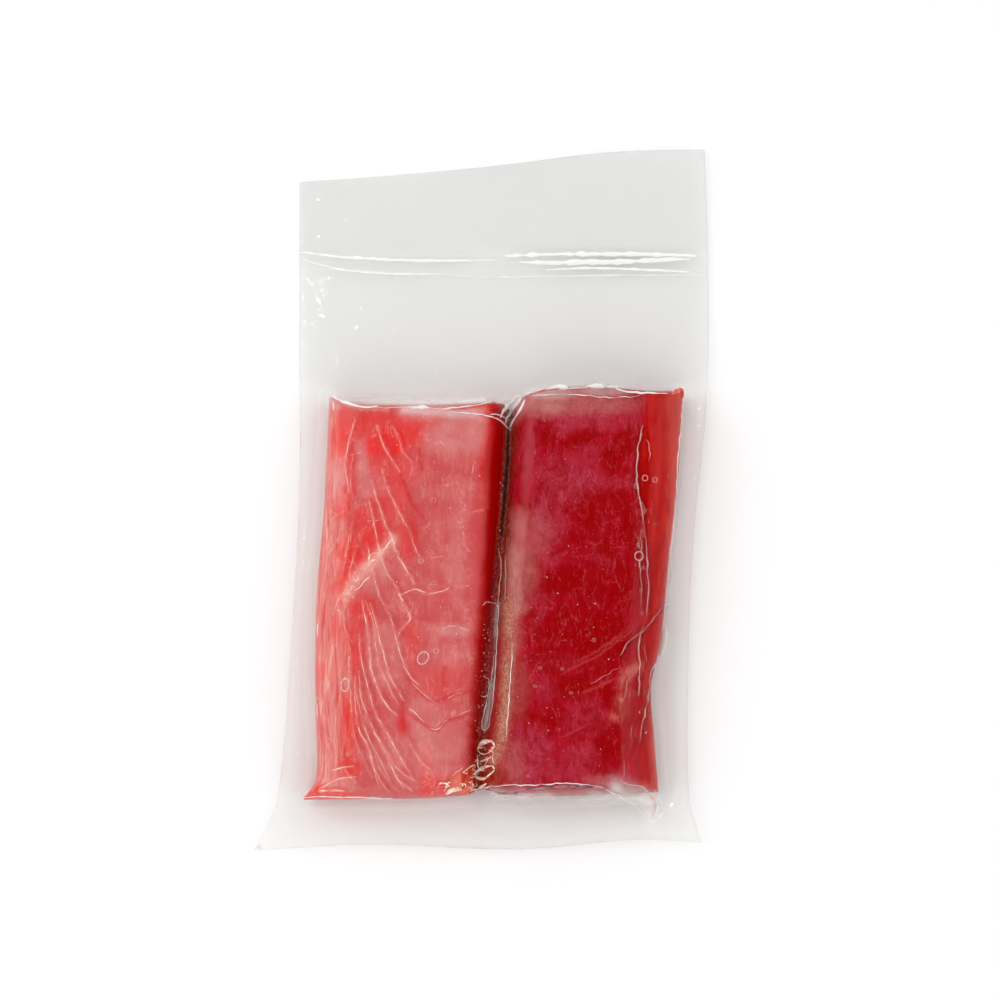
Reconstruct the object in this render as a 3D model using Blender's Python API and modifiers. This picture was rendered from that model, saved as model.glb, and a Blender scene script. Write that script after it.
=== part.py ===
"""Vacuum pack of two raw tuna fillets, lying flat on its back film.

Everything is in metres. +X is to the right, +Y runs to the mouth of the pouch and +Z is up.
The origin is on the floor under the middle of the pouch.
"""

import math

import bmesh
import bpy

MM = 0.001

# The pouch is a stock bag of 150 x 250 mm, drawn in at the waist by what it holds.
# Its side edges are (y, x) stations in millimetres, and its foot and mouth edges (x, y) stations.
POUCH_LEFT_EDGE = ((-125, -79.0), (-108, -71.8), (-60, -68.6), (0, -66.6), (60, -68.0), (125, -69.6))
POUCH_RIGHT_EDGE = ((-125, 72.6), (-108, 68.0), (-60, 68.8), (-20, 71.2), (32, 77.2), (85, 79.0), (125, 78.4))
POUCH_FOOT_EDGE = ((-79, -125.0), (-40, -123.0), (10, -124.6), (50, -121.4), (73, -122.4))
POUCH_MOUTH_EDGE = ((-70, 113.4), (-30, 116.0), (10, 120.6), (48, 124.6), (79, 125.0))
FILM_THICKNESS = 0.6 * MM

# The crimped seal that joins the two films runs across the pouch
SEAL_START = 77.5 * MM
SEAL_RIBS = 3
RIB_PITCH = 2.7 * MM
RIB_HEIGHT = 0.5 * MM
SEAL_END = SEAL_START + SEAL_RIBS * RIB_PITCH

# The margins of the films stand off the floor round the fillets
MARGIN_RISE = 3.2 * MM
MARGIN_RUN = 7.5 * MM
HEADER_SAG_RUN = 60 * MM
HEADER_REST = 1.1 * MM
WAVE_HEIGHT = 0.55 * MM
CORNER_LIFT = 2.4 * MM
CORNER_REACH = 26 * MM
LIFTED_CORNERS = ((-79, -125), (73, -122), (79, 125))

# The fillets stand on the back film, with a hair of clearance
CLEARANCE = 0.3 * MM
FILLET_BASE = FILM_THICKNESS + CLEARANCE
GROOVE_GAP = 1.2 * MM
EDGE_WALL = 1.6 * MM
UNDERCUT_RISE = 2.6 * MM
UNDERCUT_RUN = 4.0 * MM
OUTLINE_HEIGHT = FILLET_BASE + UNDERCUT_RISE + EDGE_WALL
FURROW_HALF_WIDTH = 2.4 * MM

# The front film is drawn tight over the fillets and bridges the groove between them
DRAPE_GAP = 0.6 * MM
TENT_RUN = 6.5 * MM
BRIDGE_HEIGHT = 12.5 * MM
BRIDGE_REACH = 9 * MM
BRIDGE_END_RUN = 12 * MM
BRIDGE_BLEND = 2.5 * MM

# How finely the surfaces are cut
FILLET_COLUMNS = 15
FILLET_ROWS = 24
BACK_COLUMNS = 6
BACK_ROWS = 12
MARGIN_CUTS = 3
SHOULDER_ROWS = 8
HEADER_ROWS = 5

# The outline of the pair of fillets: sides as (y, x) and ends as (x, y) stations in millimetres
LEFT_OUTER_EDGE = ((-108, -62.6), (-101, -58.4), (-75, -59.2), (-40, -59.5), (-10, -57.6), (30, -56.4))
GROOVE_LINE = ((-108, -4.4), (-75, -0.6), (-37, 2.8), (0, 5.8), (33, 7.6))
RIGHT_OUTER_EDGE = ((-107, 57.4), (-85, 56.0), (-70, 55.4), (-56, 58.8), (-26, 62.4), (0, 65.8), (33, 68.6))
LEFT_HEAD_END = ((-57, 32.0), (-51, 29.4), (-38, 28.2), (-20, 27.6), (6, 28.6))
LEFT_FOOT_END = ((-63, -108.2), (-40, -107.9), (-20, -107.6), (-4, -106.2))
RIGHT_HEAD_END = ((7, 27.0), (14, 31.4), (28, 33.6), (42, 33.4), (58, 32.2), (69, 33.8))
RIGHT_FOOT_END = ((-3, -104.6), (10, -107.0), (35, -106.6), (58, -105.6))


def smoothstep(t):
    """0 before 0, 1 after 1 and an even S between them."""
    t = max(0.0, min(1.0, t))
    return t * t * (3 - 2 * t)


def bell(distance, half_width):
    """1 at no distance, fading to nothing over about two half widths."""
    return math.exp(-((distance / half_width) ** 2))


def soft_max(a, b, blend):
    """The larger of two heights, rounded off where they cross."""
    mix = max(blend - abs(a - b), 0.0) / blend
    return max(a, b) + mix * mix * blend / 4


def shoulder(distance, run):
    """A rounded shoulder: 0 at the edge, full height once run is behind."""
    t = 1 - max(0.0, min(1.0, distance / run))
    return math.sqrt(1 - t * t)


def curve_at(stations, where):
    """The value, in metres, of a smooth curve through (position, value) stations in millimetres."""
    where = max(stations[0][0], min(stations[-1][0], where / MM))
    last = len(stations) - 2
    i = 0
    while i < last and where > stations[i + 1][0]:
        i += 1

    def slope(k):
        low, high = max(k - 1, 0), min(k + 1, last + 1)
        return (stations[high][1] - stations[low][1]) / (stations[high][0] - stations[low][0])

    (p0, v0), (p1, v1) = stations[i], stations[i + 1]
    run = p1 - p0
    t = (where - p0) / run
    value = (
        v0 * (1 + 2 * t) * (1 - t) ** 2
        + slope(i) * run * t * (1 - t) ** 2
        + v1 * t * t * (3 - 2 * t)
        + slope(i + 1) * run * t * t * (t - 1)
    )
    return value * MM


def pouch_left(y):
    return curve_at(POUCH_LEFT_EDGE, y)


def pouch_right(y):
    return curve_at(POUCH_RIGHT_EDGE, y)


def pouch_foot(x, y):
    return curve_at(POUCH_FOOT_EDGE, x)


def pouch_mouth(x, y):
    return curve_at(POUCH_MOUTH_EDGE, x)


def seal_start(x, y):
    return SEAL_START


def seal_end(x, y):
    return SEAL_END


def left_outer(y):
    return curve_at(LEFT_OUTER_EDGE, y)


def right_outer(y):
    return curve_at(RIGHT_OUTER_EDGE, y)


def groove(y):
    return curve_at(GROOVE_LINE, y)


def groove_left(y):
    return groove(y) - GROOVE_GAP / 2


def groove_right(y):
    return groove(y) + GROOVE_GAP / 2


def fillet_head(x, y):
    return curve_at(LEFT_HEAD_END if x < groove(y) else RIGHT_HEAD_END, x)


def fillet_foot(x, y):
    return curve_at(LEFT_FOOT_END if x < groove(y) else RIGHT_FOOT_END, x)


class Fillet:
    """What sets one fillet apart: its side edges, thickness, shoulders and the furrows of its flakes."""

    def __init__(self, name, west, east, thickness, shoulders, furrows, sag):
        self.name = name
        self.west = west
        self.east = east
        self.thickness = thickness
        self.west_shoulder, self.east_shoulder, self.end_shoulder = shoulders
        self.furrows = furrows
        self.sag = sag


# Each furrow is (x at the head end, x at the foot end, bow, depth), in millimetres
LEFT_FILLET = Fillet(
    name="fillet_left",
    west=left_outer,
    east=groove_left,
    thickness=19.5 * MM,
    shoulders=(10.5 * MM, 9.0 * MM, 4.5 * MM),
    furrows=((-48, -49, -4, 0.6), (-41, -31, -6, 0.5), (-32, -20, -5, 0.5), (-23, -11, -3, 0.35)),
    sag=0.7 * MM,
)
RIGHT_FILLET = Fillet(
    name="fillet_right",
    west=groove_right,
    east=right_outer,
    thickness=21.0 * MM,
    shoulders=(9.0 * MM, 14.0 * MM, 4.5 * MM),
    furrows=((51, 45, 3, 0.7), (44, 24, 4, 0.35), (26, 6, 3, 0.3)),
    sag=0.5 * MM,
)


def new_collection(name):
    collection = bpy.data.collections.new(name)
    bpy.context.scene.collection.children.link(collection)
    return collection


def new_material(name, colour, roughness, alpha=1.0):
    material = bpy.data.materials.new(name)
    material.use_nodes = True
    shader = material.node_tree.nodes["Principled BSDF"]
    shader.inputs["Base Color"].default_value = (*colour, 1.0)
    shader.inputs["Roughness"].default_value = roughness
    shader.inputs["Metallic"].default_value = 0.0
    shader.inputs["Alpha"].default_value = alpha
    return material


def new_object(name, bm, material, collection):
    mesh = bpy.data.meshes.new(name)
    bm.to_mesh(mesh)
    bm.free()
    mesh.shade_smooth()
    mesh.set_sharp_from_angle(angle=math.radians(50))
    mesh.materials.append(material)
    obj = bpy.data.objects.new(name, mesh)
    collection.objects.link(obj)
    return obj


def shares(cuts):
    """Shares of the way across a span, without its far end."""
    return [i / cuts for i in range(cuts)]


def crowded_shares(cuts):
    """Shares of the way across a fillet, closer together near the ends, where its shoulders turn."""
    even = 0.45
    return [even * s + (1 - even) * (1 - math.cos(math.pi * s)) / 2 for s in shares(cuts) + [1.0]]


def place(column, row):
    """The plan point where a column meets a row, each being two edges and a share of the way between."""
    west, east, across = column
    low, high, along = row
    x, y = 0.0, 0.0
    for _ in range(6):
        x = west(y) * (1 - across) + east(y) * across
        y = low(x, y) * (1 - along) + high(x, y) * along
    return x, y


def crown_height(fillet, x, y):
    """Height of a fillet's smooth top from the floor: round shoulders and a crown that sags in the middle."""
    west, east = fillet.west(y), fillet.east(y)
    head, foot = fillet_head(x, y), fillet_foot(x, y)
    dome = (
        shoulder(x - west, fillet.west_shoulder)
        * shoulder(east - x, fillet.east_shoulder)
        * shoulder(head - y, fillet.end_shoulder)
        * shoulder(y - foot, fillet.end_shoulder)
    )
    across, along = (x - west) / (east - west), (y - foot) / (head - foot)
    sag = fillet.sag * math.sin(math.pi * across) * math.sin(math.pi * along)
    return OUTLINE_HEIGHT + (FILLET_BASE + fillet.thickness - OUTLINE_HEIGHT - sag) * dome


def furrow_depth(fillet, x, y):
    """How deep the seams between the flakes lie at a plan point."""
    head, foot = fillet_head(x, y), fillet_foot(x, y)
    down = (head - y) / (head - foot)
    depth = 0.0
    for start, end, bow, deepest in fillet.furrows:
        line = start + (end - start) * down + bow * math.sin(math.pi * down)
        depth = max(depth, deepest * MM * bell(x - line * MM, FURROW_HALF_WIDTH))
    return depth * smoothstep(min(head - y, y - foot) / fillet.end_shoulder)


def fillet_top(fillet, x, y):
    return crown_height(fillet, x, y) - furrow_depth(fillet, x, y)


def fillet_underside(fillet, x, y):
    """Height of the lower face: flat, with its edge rounded up all round."""
    beside = min(x - fillet.west(y), fillet.east(y) - x)
    beyond = min(fillet_head(x, y) - y, y - fillet_foot(x, y))
    return FILLET_BASE + UNDERCUT_RISE * (1 - shoulder(min(beside, beyond), UNDERCUT_RUN))


def cut_along(bm, axis, cuts):
    """Cuts every edge of a box that runs along the axis into equal lengths."""
    edges = []
    for edge in bm.edges:
        run = edge.verts[1].co - edge.verts[0].co
        if abs(run[axis]) > 0.5 * run.length:
            edges.append(edge)
    bmesh.ops.subdivide_edges(bm, edges=edges, cuts=cuts - 1, use_grid_fill=True)


def build_fillet(fillet, material, collection):
    """A box cut into a net, whose two faces are pulled to the fillet's rounded form."""
    bm = bmesh.new()
    bmesh.ops.create_cube(bm, size=1.0)
    cut_along(bm, axis=0, cuts=FILLET_COLUMNS)
    cut_along(bm, axis=1, cuts=FILLET_ROWS)
    columns, rows = crowded_shares(FILLET_COLUMNS), crowded_shares(FILLET_ROWS)
    for vert in bm.verts:
        across = columns[round((vert.co.x + 0.5) * FILLET_COLUMNS)]
        along = rows[round((vert.co.y + 0.5) * FILLET_ROWS)]
        x, y = place((fillet.west, fillet.east, across), (fillet_foot, fillet_head, along))
        height = fillet_top if vert.co.z > 0 else fillet_underside
        vert.co = (x, y, height(fillet, x, y))
    bmesh.ops.recalc_face_normals(bm, faces=bm.faces)
    return new_object(fillet.name, bm, material, collection)


def film_columns(fillet_columns):
    """The films' columns, from the left edge of the pouch to the right."""
    over_fillet = crowded_shares(fillet_columns)
    columns = [(pouch_left, left_outer, s) for s in shares(MARGIN_CUTS)]
    columns += [(left_outer, groove_left, s) for s in over_fillet]
    columns += [(groove_right, right_outer, s) for s in over_fillet]
    columns += [(pouch_right, right_outer, s) for s in reversed(shares(MARGIN_CUTS))]
    return columns


def film_rows(fillet_rows):
    """The films' rows, from the foot of the pouch to its mouth, two to each rib of the seal."""
    rows = [(pouch_foot, fillet_foot, s) for s in shares(MARGIN_CUTS)]
    rows += [(fillet_foot, fillet_head, s) for s in crowded_shares(fillet_rows)]
    rows += [(fillet_head, seal_start, s) for s in shares(SHOULDER_ROWS)[1:]]
    rows += [(seal_start, seal_end, s) for s in shares(2 * SEAL_RIBS)]
    rows += [(seal_end, pouch_mouth, s) for s in shares(HEADER_ROWS) + [1.0]]
    return rows


def rib_height(y):
    """Height of the seal's ribs above the film between them."""
    into_seal = (y - SEAL_START) / RIB_PITCH
    if not 0 < into_seal < SEAL_RIBS:
        return 0.0
    return RIB_HEIGHT * math.sin(math.pi * (into_seal % 1.0))


def gap_to_fillets(x, y):
    """Distance in plan from the pair of fillets, 0 over them."""
    beside = max(left_outer(y) - x, x - right_outer(y), 0.0)
    beyond = max(fillet_foot(x, y) - y, y - fillet_head(x, y), 0.0)
    return math.hypot(beside, beyond)


def back_film_underside(x, y):
    """Flat under the fillets, with margins that stand off the floor, wave a little and lift at corners."""
    gap = gap_to_fillets(x, y)
    rise = MARGIN_RISE * smoothstep(gap / MARGIN_RUN)
    sag = smoothstep((y - fillet_head(x, y) - MARGIN_RUN) / HEADER_SAG_RUN)
    rise += (HEADER_REST - MARGIN_RISE) * sag
    free = smoothstep(gap / (2 * MARGIN_RUN))
    wave = math.sin(x / (11 * MM) + y / (27 * MM)) * math.sin(y / (15 * MM) - 0.6)
    rise += WAVE_HEIGHT * wave * free
    for corner_x, corner_y in LIFTED_CORNERS:
        reach = math.hypot(x - corner_x * MM, y - corner_y * MM)
        rise += CORNER_LIFT * bell(reach, CORNER_REACH) * free
    return rise + rib_height(y)


def front_film_underside(x, y):
    """Tight over the fillets, bridging their groove, and tented down to the back film all round."""
    on_back_film = back_film_underside(x, y) + FILM_THICKNESS + CLEARANCE
    outline = OUTLINE_HEIGHT + DRAPE_GAP
    gap = gap_to_fillets(x, y)
    if gap > 0:
        return max(on_back_film, outline + (on_back_film - outline) * smoothstep(gap / TENT_RUN))
    fillet = LEFT_FILLET if x < groove(y) else RIGHT_FILLET
    draped = crown_height(fillet, x, y) + DRAPE_GAP
    inset = min(fillet_head(x, y) - y, y - fillet_foot(x, y))
    bridge = outline + (BRIDGE_HEIGHT - outline) * shoulder(inset, BRIDGE_END_RUN)
    near_groove = smoothstep(2 - abs(x - groove(y)) / BRIDGE_REACH)
    return draped + (soft_max(draped, bridge, BRIDGE_BLEND) - draped) * near_groove


def build_film(name, underside, columns, rows, material, collection):
    """One sheet of film, laid out as a net on its lower face and then given its thickness."""
    bm = bmesh.new()
    last_column, last_row = len(columns) - 1, len(rows) - 1
    bmesh.ops.create_grid(bm, x_segments=last_column, y_segments=last_row, size=0.5)
    for vert in bm.verts:
        column = columns[round((vert.co.x + 0.5) * last_column)]
        row = rows[round((vert.co.y + 0.5) * last_row)]
        x, y = place(column, row)
        vert.co = (x, y, underside(x, y))
    film = new_object(name, bm, material, collection)
    thicken = film.modifiers.new("FilmThickness", "SOLIDIFY")
    thicken.thickness = FILM_THICKNESS
    thicken.offset = 1.0
    return film


def main():
    for obj in list(bpy.data.objects):
        bpy.data.objects.remove(obj, do_unlink=True)
    pack = new_collection("TunaVacuumPack")
    clear_film = new_material("ClearFilm", (0.86, 0.88, 0.87), 0.12, alpha=0.35)
    pale_meat = new_material("PaleTuna", (0.72, 0.16, 0.15), 0.35)
    dark_meat = new_material("DarkTuna", (0.48, 0.015, 0.03), 0.32)
    coarse = film_columns(BACK_COLUMNS), film_rows(BACK_ROWS)
    fine = film_columns(FILLET_COLUMNS), film_rows(FILLET_ROWS)
    build_film("film_back", back_film_underside, *coarse, clear_film, pack)
    build_fillet(LEFT_FILLET, pale_meat, pack)
    build_fillet(RIGHT_FILLET, dark_meat, pack)
    build_film("film_front", front_film_underside, *fine, clear_film, pack)


if __name__ == "__main__":
    main()
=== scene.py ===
import math

import bpy
import numpy as np
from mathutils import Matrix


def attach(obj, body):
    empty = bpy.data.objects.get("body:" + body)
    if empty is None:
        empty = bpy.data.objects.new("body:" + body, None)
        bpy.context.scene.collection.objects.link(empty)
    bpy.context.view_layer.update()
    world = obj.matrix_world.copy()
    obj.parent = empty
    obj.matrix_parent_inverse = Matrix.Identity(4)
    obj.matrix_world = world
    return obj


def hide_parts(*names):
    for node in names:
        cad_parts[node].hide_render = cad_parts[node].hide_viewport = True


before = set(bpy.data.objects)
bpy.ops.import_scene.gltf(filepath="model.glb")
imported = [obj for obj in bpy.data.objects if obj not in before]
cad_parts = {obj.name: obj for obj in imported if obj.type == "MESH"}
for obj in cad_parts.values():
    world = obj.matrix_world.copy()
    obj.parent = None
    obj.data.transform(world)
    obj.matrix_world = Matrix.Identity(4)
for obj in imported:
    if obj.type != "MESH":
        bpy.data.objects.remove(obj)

bl_info = {
    "name": "Vacuum Packed Tuna Fillets",
    "version": (1, 0, 0),
    "blender": (4, 5, 0),
    "location": "3D View > Sidebar > Tuna Pack",
    "description": "Dresses the pack of two raw tuna fillets: meat, juice, clear film and its creases",
    "category": "Object",
}

MM = 0.001

# The picture is square. Marks on the meat and film are placed by its pixels and projected on their surface.
PICTURE_SIDE = 1000
SENSOR = 36.0
LENS = 56.13
FOCAL_PIXELS = LENS / SENSOR * PICTURE_SIDE
CAMERA_TARGET = (3.8, -4.4, 0.0)
CAMERA_DISTANCE = 550.0
CAMERA_ELEVATION = math.radians(80)

# Outlines in plan, in millimetres: side edges are (y, x) stations, end edges (x, y)
POUCH_LEFT_EDGE = ((-125, -79.0), (-108, -71.8), (-60, -68.6), (0, -66.6), (60, -68.0), (125, -69.6))
POUCH_RIGHT_EDGE = (
    (-125, 72.6), (-108, 68.0), (-60, 68.8), (-20, 71.2), (32, 77.2), (85, 79.0), (125, 78.4),
)
POUCH_FOOT_EDGE = ((-79, -125.0), (-40, -123.0), (10, -124.6), (50, -121.4), (73, -122.4))
POUCH_MOUTH_EDGE = ((-70, 113.4), (-30, 116.0), (10, 120.6), (48, 124.6), (79, 125.0))
LEFT_OUTER_EDGE = ((-108, -62.6), (-101, -58.4), (-75, -59.2), (-40, -59.5), (-10, -57.6), (30, -56.4))
GROOVE_LINE = ((-108, -4.4), (-75, -0.6), (-37, 2.8), (0, 5.8), (33, 7.6))
RIGHT_OUTER_EDGE = (
    (-107, 57.4), (-85, 56.0), (-70, 55.4), (-56, 58.8), (-26, 62.4), (0, 65.8), (33, 68.6),
)
LEFT_HEAD_END = ((-57, 32.0), (-51, 29.4), (-38, 28.2), (-20, 27.6), (6, 28.6))
LEFT_FOOT_END = ((-63, -108.2), (-40, -107.9), (-20, -107.6), (-4, -106.2))
RIGHT_HEAD_END = ((7, 27.0), (14, 31.4), (28, 33.6), (42, 33.4), (58, 32.2), (69, 33.8))
RIGHT_FOOT_END = ((-3, -104.6), (10, -107.0), (35, -106.6), (58, -105.6))

# Heights and runs, in millimetres
FILLET_BASE = 0.9
OUTLINE_HEIGHT = 5.1
GROOVE_GAP = 1.2
UNDERCUT_RISE = 2.6
UNDERCUT_RUN = 4.0
FURROW_HALF_WIDTH = 2.4
DRAPE_GAP = 0.4
END_EASE = 0.4
END_REACH = 4.5
TENT_RUN = 6.5
BRIDGE_HEIGHT = 12.5
BRIDGE_REACH = 9.0
BRIDGE_END_RUN = 12.0
BRIDGE_BLEND = 2.5
MARGIN_RISE = 3.2
MARGIN_RUN = 7.5
HEADER_SAG_RUN = 60.0
HEADER_REST = 1.1
WAVE_HEIGHT = 0.55
WAVE_ACROSS = 11.0
WAVE_SKEW = 27.0
WAVE_ALONG = 15.0
WAVE_SHIFT = 0.6
DIMPLE_HEIGHT = 0.16
DIMPLE_SIZE = 13.0
CORNER_LIFT = 2.4
CORNER_REACH = 26.0
LIFTED_CORNERS = ((-79, -125), (73, -122), (79, 125))
SEAL_START = 77.5
SEAL_RIBS = 3
RIB_PITCH = 2.7
RIB_HEIGHT = 0.5
SEAL_END = SEAL_START + SEAL_RIBS * RIB_PITCH
FILM_REST = 0.06
FILM_GAP = 0.3
FILM_CLEAR = 0.12
FURROW_SHARE = 0.6
BRIDGE_RIPPLE = 0.5
HAZE_RUN = 3.0
HEADER_START = 32.0
# The film's face over the fillets' feet: towards the foot from here, and above this height
FOOT_FACE_END = -95.0
FOOT_FACE_LOW = 5.0

# Unevenness of the meat's tops, in millimetres
LEFT_SWELL = 0.18
RIGHT_SWELL = 0.16
MEAT_GRAIN = 0.05
SEAM_RIDGE = 0.16
TORN_STEP = 0.4
TORN_RIDGE = 0.3
TORN_RUFFLE = 0.35
CREASE_DEPTH = 0.12
RELIEF_EASE = 1.5

# Half widths of marks on the meat, in pixels
SEAM_RIDGE_REACH = 2.6
SEAM_TONE_REACH = 1.6
# The painted shadow line beside each white seam: its half width, and how far it is shifted from the seam
SEAM_SHADOW_REACH = 2.4
SEAM_SHADOW_OFFSET = (3.2, -1.5)


# Numbers and curves


def smoothstep(t):
    """0 before 0, 1 after 1 and an even S between them."""
    t = np.clip(t, 0.0, 1.0)
    return t * t * (3 - 2 * t)


def bell(distance, half_width):
    """1 at no distance, fading to nothing over about two half widths."""
    return np.exp(-((distance / half_width) ** 2))


def soft_max(a, b, blend):
    """The larger of two heights, rounded off where they cross."""
    mix = np.maximum(blend - np.abs(a - b), 0.0) / blend
    return np.maximum(a, b) + mix * mix * blend / 4


def shoulder(distance, run):
    """A rounded shoulder: 0 at the edge, full height once run is behind."""
    t = 1 - np.clip(distance / run, 0.0, 1.0)
    return np.sqrt(1 - t * t)


def curve_at(stations, where):
    """A smooth curve through (position, value) stations."""
    places, values = np.array(stations, float).T
    slopes = np.gradient(values, places)
    slopes[1:-1] = (values[2:] - values[:-2]) / (places[2:] - places[:-2])
    where = np.clip(where, places[0], places[-1])
    i = np.clip(np.searchsorted(places, where, side="right") - 1, 0, len(places) - 2)
    run = places[i + 1] - places[i]
    t = (where - places[i]) / run
    return (
        values[i] * (1 + 2 * t) * (1 - t) ** 2
        + slopes[i] * run * t * (1 - t) ** 2
        + values[i + 1] * t * t * (3 - 2 * t)
        + slopes[i + 1] * run * t * t * (t - 1)
    )


def cloud(x, y, size, seed):
    """Smooth noise between -1 and 1 with lumps about as wide as size."""
    side = 97
    table = np.random.default_rng(seed).uniform(-1, 1, (side, side))
    u, v = np.asarray(x, float) / size + 500.0, np.asarray(y, float) / size + 500.0
    iu, iv = np.floor(u).astype(int), np.floor(v).astype(int)
    fu, fv = smoothstep(u - iu), smoothstep(v - iv)
    a, b = table[iu % side, iv % side], table[(iu + 1) % side, iv % side]
    c, d = table[iu % side, (iv + 1) % side], table[(iu + 1) % side, (iv + 1) % side]
    return (a * (1 - fu) + b * fu) * (1 - fv) + (c * (1 - fu) + d * fu) * fv


def clouds(x, y, size, seed, layers=3):
    """Noise with finer and finer lumps laid over each other."""
    total, strength = 0.0, 1.0
    for layer in range(layers):
        total = total + strength * cloud(x, y, size / 2**layer, seed + layer)
        strength *= 0.5
    return total / 1.6


def along_path(x, y, path):
    """Distance to a path, the share of the way along it, and the side: 1 to its left, -1 to its right."""
    points = np.array(path, float)
    lengths = np.hypot(*np.diff(points, axis=0).T)
    run = np.concatenate(([0.0], np.cumsum(lengths)))
    best = np.full(np.shape(x), 1e9)
    share = np.zeros(np.shape(x))
    side = np.ones(np.shape(x))
    for k, length in enumerate(lengths):
        (ax, ay), (bx, by) = points[k], points[k + 1]
        ux, uy = (bx - ax) / length, (by - ay) / length
        t = np.clip((x - ax) * ux + (y - ay) * uy, 0.0, length)
        distance = np.hypot(x - ax - t * ux, y - ay - t * uy)
        nearer = distance < best
        best = np.where(nearer, distance, best)
        share = np.where(nearer, (run[k] + t) / run[-1], share)
        side = np.where(nearer, np.sign(ux * (y - ay) - uy * (x - ax)), side)
    return best, share, side


def rounded(path, rounds=2):
    """The path with its corners cut off, its ends kept."""
    points = np.array(path, float)
    for _ in range(rounds):
        near, far = 0.75 * points[:-1] + 0.25 * points[1:], 0.25 * points[:-1] + 0.75 * points[1:]
        cut = np.stack([near, far], axis=1).reshape(-1, 2)
        points = np.concatenate([points[:1], cut[1:-1], points[-1:]])
    return points


def near_path(x, y, path, half_width, taper=0.0):
    """1 on a path, fading away beside it, and thinning to its ends by the taper."""
    x, y = np.asarray(x, float), np.asarray(y, float)
    path = rounded(path, 1)
    low, high = np.min(path, axis=0) - 3 * half_width, np.max(path, axis=0) + 3 * half_width
    close = (x > low[0]) & (x < high[0]) & (y > low[1]) & (y < high[1])
    distance, share, _ = along_path(x[close], y[close], path)
    width = half_width * (1 - taper * np.abs(2 * share - 1) ** 2)
    result = np.zeros(x.shape)
    result[close] = bell(distance, np.maximum(width, 0.05))
    return result


def patch(x, y, centre, reach, edge=0.5):
    """A soft-edged patch: 1 in its middle and 0 outside an ellipse of that reach."""
    away = np.hypot((x - centre[0]) / reach[0], (y - centre[1]) / reach[1])
    return smoothstep((1 + edge / 2 - away) / edge)


def strongest_patch(x, y, patches, edge):
    """The strongest at each point of several patches: (strength, middle, reach)."""
    result = np.zeros(np.shape(x))
    for strength, centre, reach in patches:
        result = np.maximum(result, strength * patch(x, y, centre, reach, edge))
    return result


def strongest_line(x, y, lines, taper=0.0):
    """The strongest at each point of several lines: (strength, half width, path)."""
    result = np.zeros(np.shape(x))
    for strength, half_width, path in lines:
        result = np.maximum(result, strength * near_path(x, y, path, half_width, taper))
    return result


# The camera's picture and the plan


def camera_place():
    back, up = math.cos(CAMERA_ELEVATION), math.sin(CAMERA_ELEVATION)
    return np.array([CAMERA_TARGET[0], CAMERA_TARGET[1] - CAMERA_DISTANCE * back, CAMERA_DISTANCE * up])


def picture_at(x, y, z):
    """The picture's pixels that show points of the part."""
    eye = camera_place()
    ahead = np.array([0.0, math.cos(CAMERA_ELEVATION), -math.sin(CAMERA_ELEVATION)])
    up = np.array([0.0, math.sin(CAMERA_ELEVATION), math.cos(CAMERA_ELEVATION)])
    dx, dy, dz = x - eye[0], y - eye[1], z - eye[2]
    depth = dy * ahead[1] + dz * ahead[2]
    rise = dy * up[1] + dz * up[2]
    middle = PICTURE_SIDE / 2
    return middle + FOCAL_PIXELS * dx / depth, middle - FOCAL_PIXELS * rise / depth


def ragged_pixels(x, y, column, row):
    """The pixels of points pushed about a little, so that what is drawn by them has a ragged edge."""
    return column + 1.1 * cloud(x, y, 1.1, 113), row + 1.1 * cloud(x, y, 1.1, 119)


def bent_pixels(x, y, column, row):
    """The pixels of points pushed about more, for patches with wandering borders."""
    bent_column = column + 3.0 * clouds(x, y, 5.0, 101) + 1.0 * cloud(x, y, 1.5, 103)
    bent_row = row + 3.0 * clouds(x, y, 5.0, 107) + 1.0 * cloud(x, y, 1.5, 109)
    return bent_column, bent_row


def plan_at(columns, rows, surface):
    """The plan points of a surface that pixels show. The surface gives its height at plan points."""
    eye = camera_place()
    middle = PICTURE_SIDE / 2
    a = (np.asarray(columns, float) - middle) / FOCAL_PIXELS
    b = (middle - np.asarray(rows, float)) / FOCAL_PIXELS
    ahead = math.cos(CAMERA_ELEVATION) + b * math.sin(CAMERA_ELEVATION)
    down = -math.sin(CAMERA_ELEVATION) + b * math.cos(CAMERA_ELEVATION)
    # From a guess at the height, a few rounds settle on where each pixel's ray meets the surface
    z = np.full(a.shape, 15.0)
    for _ in range(6):
        reach = (z - eye[2]) / down
        x, y = eye[0] + reach * a, eye[1] + reach * ahead
        z = 0.4 * z + 0.6 * surface(x, y)
    return x, y


# The fillets' form


def pouch_left(y):
    return curve_at(POUCH_LEFT_EDGE, y)


def pouch_right(y):
    return curve_at(POUCH_RIGHT_EDGE, y)


def pouch_foot(x, y):
    return curve_at(POUCH_FOOT_EDGE, x)


def pouch_mouth(x, y):
    return curve_at(POUCH_MOUTH_EDGE, x)


def seal_start(x, y):
    return np.full(np.shape(x), SEAL_START)


def seal_end(x, y):
    return np.full(np.shape(x), SEAL_END)


def left_outer(y):
    return curve_at(LEFT_OUTER_EDGE, y)


def right_outer(y):
    return curve_at(RIGHT_OUTER_EDGE, y)


def groove(y):
    return curve_at(GROOVE_LINE, y)


def groove_left(y):
    return groove(y) - GROOVE_GAP / 2


def groove_right(y):
    return groove(y) + GROOVE_GAP / 2


def fillet_head(x, y):
    return np.where(x < groove(y), curve_at(LEFT_HEAD_END, x), curve_at(RIGHT_HEAD_END, x))


def fillet_foot(x, y):
    return np.where(x < groove(y), curve_at(LEFT_FOOT_END, x), curve_at(RIGHT_FOOT_END, x))


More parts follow.
